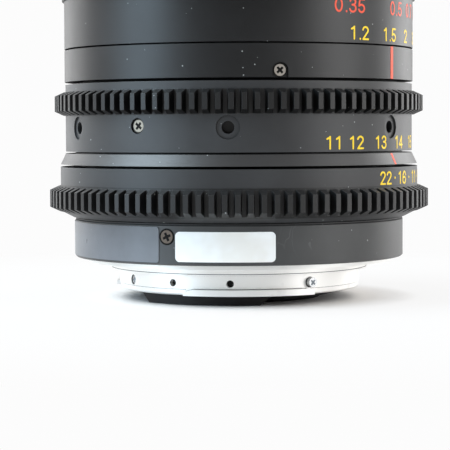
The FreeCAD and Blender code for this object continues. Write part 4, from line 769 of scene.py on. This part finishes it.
def screw_places(node):
    """The azimuth of each radial screw of a node, and in millimetres its face, height and radius."""
    corners = [
        (math.degrees(math.atan2(corner.co.x, -corner.co.y)), corner.co / MM)
        for corner in nodes[node].data.vertices
    ]
    corners.sort(key=lambda pair: pair[0])
    groups = []
    for turn, corner in corners:
        if not groups or turn - groups[-1][-1][0] > SCREW_GAP:
            groups.append([])
        groups[-1].append((turn, corner))
    places = []
    for group in groups:
        turns = [turn for turn, _ in group]
        azimuth = (min(turns) + max(turns)) / 2
        outward = direction(azimuth)
        face = max(corner.dot(outward) for _, corner in group)
        heights = [corner.z for _, corner in group if corner.dot(outward) > face - FACE_DEPTH]
        low, high = min(heights), max(heights)
        places.append((azimuth, face, (low + high) / 2, (high - low) / 2))
    return places


def cross_outline(radius, turn):
    """Points round a cross recess, which is turned by an angle in degrees."""
    arm = radius * CROSS_ARM
    half = radius * CROSS_HALF_WIDTH
    quarter = [(half, arm), (half, half), (arm, half)]
    points = []
    for number in range(4):
        angle = math.radians(turn - 90.0 * number)
        points += [
            (x * math.cos(angle) - y * math.sin(angle), x * math.sin(angle) + y * math.cos(angle))
            for x, y in quarter
        ]
    return points


def closed_loop(mesh, points, where):
    """Edges round a loop of flat points, which where(x, y) puts in space."""
    corners = [mesh.verts.new(where(x, y)) for x, y in points]
    return [mesh.edges.new((corner, corners[number - 1])) for number, corner in enumerate(corners)]


def wafer(mesh, loops, place_at, top):
    """A flat wafer on a screw's face, filled between closed loops of points."""
    azimuth, face, height, _ = place_at
    outward = direction(azimuth)
    across = direction(azimuth + 90.0)

    def where(x, y):
        return (outward * (face + top) + across * x + Vector((0.0, 0.0, height + y))) * MM

    edges = []
    for points in loops:
        edges += closed_loop(mesh, points, where)
    filled = bmesh.ops.triangle_fill(mesh, use_beauty=True, edges=edges)
    faces = [piece for piece in filled["geom"] if isinstance(piece, bmesh.types.BMFace)]
    raised = bmesh.ops.extrude_face_region(mesh, geom=faces)
    moved = [piece for piece in raised["geom"] if isinstance(piece, bmesh.types.BMVert)]
    bmesh.ops.translate(mesh, vec=-outward * PLATE_THICKNESS * MM, verts=moved)


for name, body, finish, slot, recess, turn, ring, lift in SCREW_SETS:
    plates = bmesh.new()
    shadows = bmesh.new()
    for number, screw in enumerate(screw_places(name)):
        radius = screw[3]
        rim = ring_points(radius * PLATE_SHARE, SCREW_SIDES)
        cross = cross_outline(radius, turn + CROSS_TURN * number)
        wafer(plates, [rim, cross], screw, lift + PLATE_THICKNESS + PLATE_LIFT)
        # A dark disc under the face: painted shade in the recess and round the head
        wafer(shadows, [ring_points(radius * ring, SCREW_SIDES)], screw, lift + SHADOW_LIFT)
    finished_piece(name + "_faces", plates, finish, body)
    finished_piece(name + "_recess_shadows", shadows, recess, body)


# Surroundings

WHITE = (0.975, 0.975, 0.975, 1.0)
AMBIENT = 0.12
CAMERA_AZIMUTH = -57.9
WINDOW_COLOUR = (0.60, 0.82, 1.0)
SKY_COLOUR = (0.75, 0.9, 1.0)
NEUTRAL = (1.0, 1.0, 1.0)
LAMP_TARGET = Vector((0.0, 0.0, 0.045))

# The dark side of the room: its direction, angles of its core and edge, and its level
DARK_AZIMUTH = CAMERA_AZIMUTH + 6.0
DARK_ELEVATION = 12.0
DARK_CORE = 16.0
DARK_EDGE = 62.0
DARK_LEVEL = 0.06

# The table in metres: its colours, and radii between which a painted glow turns it white round a
# shifted centre
FLOOR_SIZE = 6.0
FLOOR_HEIGHT = -0.00002
FLOOR_COLOUR = (0.93, 0.91, 0.89)
FLOOR_PALE = (0.945, 0.925, 0.905)
FLOOR_GRAIN_SCALE = 30.0
FLOOR_MOTTLED = (0.3, 0.8)
FLOOR_ROUGHNESS = 0.55
# The glow's rise near the lens paints the edge of the lens's shadow
FLOOR_NEAR = 0.026
FLOOR_MIDDLE = 0.036
FLOOR_FAR = 0.14
FLOOR_MIDDLE_WHITE = 0.86
FLOOR_SHIFT = 0.0025

# Name, azimuth from the camera and elevation in degrees, distance and size in metres, watts, colour
LAMPS = (
    ("soft_top", 0.0, 70.0, 0.9, (0.9, 0.9), 2.1, NEUTRAL),
    ("soft_left", -63.0, 10.0, 0.8, (0.45, 0.8), 5.6, WINDOW_COLOUR),
    ("high_left", -80.0, 46.0, 0.9, (0.7, 0.3), 9.5, SKY_COLOUR),
    ("soft_right", 65.0, 10.0, 0.8, (0.4, 0.8), 3.9, NEUTRAL),
    ("rim_right", 128.0, 12.0, 0.8, (0.5, 0.9), 4.9, NEUTRAL),
    ("rim_left", -135.0, 12.0, 0.8, (0.5, 0.9), 2.8, NEUTRAL),
)

# Camera: millimetres and degrees
CAMERA_DISTANCE = 383.4
CAMERA_HEIGHT = 35.4
CAMERA_PITCH = 3.03
CAMERA_YAW = 0.45
CAMERA_ROLL = -0.24
FOCAL_LENGTH = 142.9
SENSOR_WIDTH = 36.0
CLIP_START = 10.0


def dark_side(tree):
    """The room's brightness in reflections: one side of the white room is open and dark."""
    where = tree.nodes.new("ShaderNodeTexCoord")
    towards = tuple(direction(DARK_AZIMUTH, DARK_ELEVATION))
    product = vector_node(tree, "DOT_PRODUCT", where.outputs["Generated"], towards)
    node = tree.nodes.new("ShaderNodeMapRange")
    node.interpolation_type = "SMOOTHSTEP"
    node.inputs["From Min"].default_value = math.cos(math.radians(DARK_EDGE))
    node.inputs["From Max"].default_value = math.cos(math.radians(DARK_CORE))
    node.inputs["To Min"].default_value = 1.0
    node.inputs["To Max"].default_value = DARK_LEVEL
    tree.links.new(product.outputs["Value"], node.inputs["Value"])
    return node.outputs[0]


def background():
    """White surroundings, which metal and glass reflect, and a softer fill for matte paint."""
    world = bpy.data.worlds.new("white_room")
    bpy.context.scene.world = world
    world.use_nodes = True
    tree = world.node_tree
    shade = tree.nodes["Background"]
    shade.inputs["Color"].default_value = WHITE
    path = tree.nodes.new("ShaderNodeLightPath")
    camera_ray = path.outputs["Is Camera Ray"]
    seen = math_node(tree, "MAXIMUM", camera_ray, path.outputs["Is Transmission Ray"])
    glossy = math_node(tree, "MULTIPLY", path.outputs["Is Glossy Ray"], dark_side(tree))
    seen = math_node(tree, "MAXIMUM", seen, glossy)
    diffuse = math_node(tree, "MULTIPLY", path.outputs["Is Diffuse Ray"], AMBIENT)
    level = math_node(tree, "MAXIMUM", seen, diffuse)
    tree.links.new(level, shade.inputs["Strength"])


def painted_table_glow(tree):
    """The table's share of painted white glow: none under the lens, and all of it far away, so it
    paints where the shadow ends.
    """
    where = tree.nodes.new("ShaderNodeTexCoord")
    shift = tuple(direction(CAMERA_AZIMUTH + 90.0) * FLOOR_SHIFT)
    from_lens = vector_node(tree, "SUBTRACT", where.outputs["Object"], shift)
    distance = vector_node(tree, "LENGTH", from_lens.outputs[0]).outputs["Value"]
    near = ramp(tree, distance, FLOOR_NEAR, FLOOR_MIDDLE)
    away = ramp(tree, distance, FLOOR_MIDDLE, FLOOR_FAR)
    painted_glow = math_node(tree, "MULTIPLY", away, 1.0 - FLOOR_MIDDLE_WHITE)
    painted_glow = math_node(tree, "ADD", painted_glow, math_node(tree, "MULTIPLY", near, FLOOR_MIDDLE_WHITE))
    path = tree.nodes.new("ShaderNodeLightPath")
    seen = math_node(tree, "MAXIMUM", path.outputs["Is Camera Ray"], path.outputs["Is Glossy Ray"])
    seen = math_node(tree, "MAXIMUM", seen, path.outputs["Is Transmission Ray"])
    return math_node(tree, "MULTIPLY", painted_glow, seen)


def floor():
    """A white table that is seen from above only, so that the underside can be looked at too."""
    half = FLOOR_SIZE / 2
    corners = [
        (x, y, FLOOR_HEIGHT) for x, y in ((-half, -half), (half, -half), (half, half), (-half, half))
    ]
    data = bpy.data.meshes.new("floor")
    data.from_pydata(corners, [], [(0, 1, 2, 3)])
    piece = bpy.data.objects.new("floor", data)
    bpy.context.scene.collection.objects.link(piece)
    material, tree, shader = new_material("white_table")
    grain = noise(tree, place(tree), FLOOR_GRAIN_SCALE)
    base = mix_colour(tree, ramp(tree, grain, *FLOOR_MOTTLED), FLOOR_COLOUR, FLOOR_PALE)
    tree.links.new(base, shader.inputs["Base Color"])
    shader.inputs["Roughness"].default_value = FLOOR_ROUGHNESS
    # Painted light: the table glows white for the camera and in reflections, falling away near the
    # lens
    white = add(tree, "ShaderNodeEmission", Color=WHITE)
    lit = mix_shader(tree, painted_table_glow(tree), shader.outputs[0], white.outputs[0])
    side = tree.nodes.new("ShaderNodeNewGeometry")
    clear = tree.nodes.new("ShaderNodeBsdfTransparent")
    one_sided = mix_shader(tree, side.outputs["Backfacing"], lit, clear.outputs[0])
    tree.links.new(one_sided, tree.nodes["Material Output"].inputs["Surface"])
    data.materials.append(material)


def lamp(name, azimuth, elevation, distance, size, power, colour):
    """A rectangular lamp that faces the lens."""
    data = bpy.data.lights.new(name, "AREA")
    data.shape = "RECTANGLE"
    data.size, data.size_y = size
    data.energy = power
    data.color = colour
    piece = bpy.data.objects.new(name, data)
    offset = direction(CAMERA_AZIMUTH + azimuth, elevation) * distance
    piece.location = offset + LAMP_TARGET
    piece.rotation_euler = (-offset).to_track_quat("-Z", "Y").to_euler()
    bpy.context.scene.collection.objects.link(piece)


def camera():
    """A camera near the height of the zoom ring, pitched a little down."""
    data = bpy.data.cameras.new("camera")
    data.lens = FOCAL_LENGTH
    data.sensor_width = SENSOR_WIDTH
    data.clip_start = CLIP_START * MM
    piece = bpy.data.objects.new("camera", data)
    bpy.context.scene.collection.objects.link(piece)
    piece.location = direction(CAMERA_AZIMUTH) * CAMERA_DISTANCE * MM
    piece.location.z = CAMERA_HEIGHT * MM
    level = Matrix.Rotation(math.radians(90.0 - CAMERA_PITCH), 4, "X")
    heading = Matrix.Rotation(math.radians(CAMERA_AZIMUTH + CAMERA_YAW), 4, "Z")
    roll = Matrix.Rotation(math.radians(CAMERA_ROLL), 4, "Z")
    piece.rotation_euler = (heading @ level @ roll).to_euler()
    bpy.context.scene.camera = piece


background()
floor()
for lamp_values in LAMPS:
    lamp(*lamp_values)
camera()
bpy.context.scene.view_settings.view_transform = "Standard"
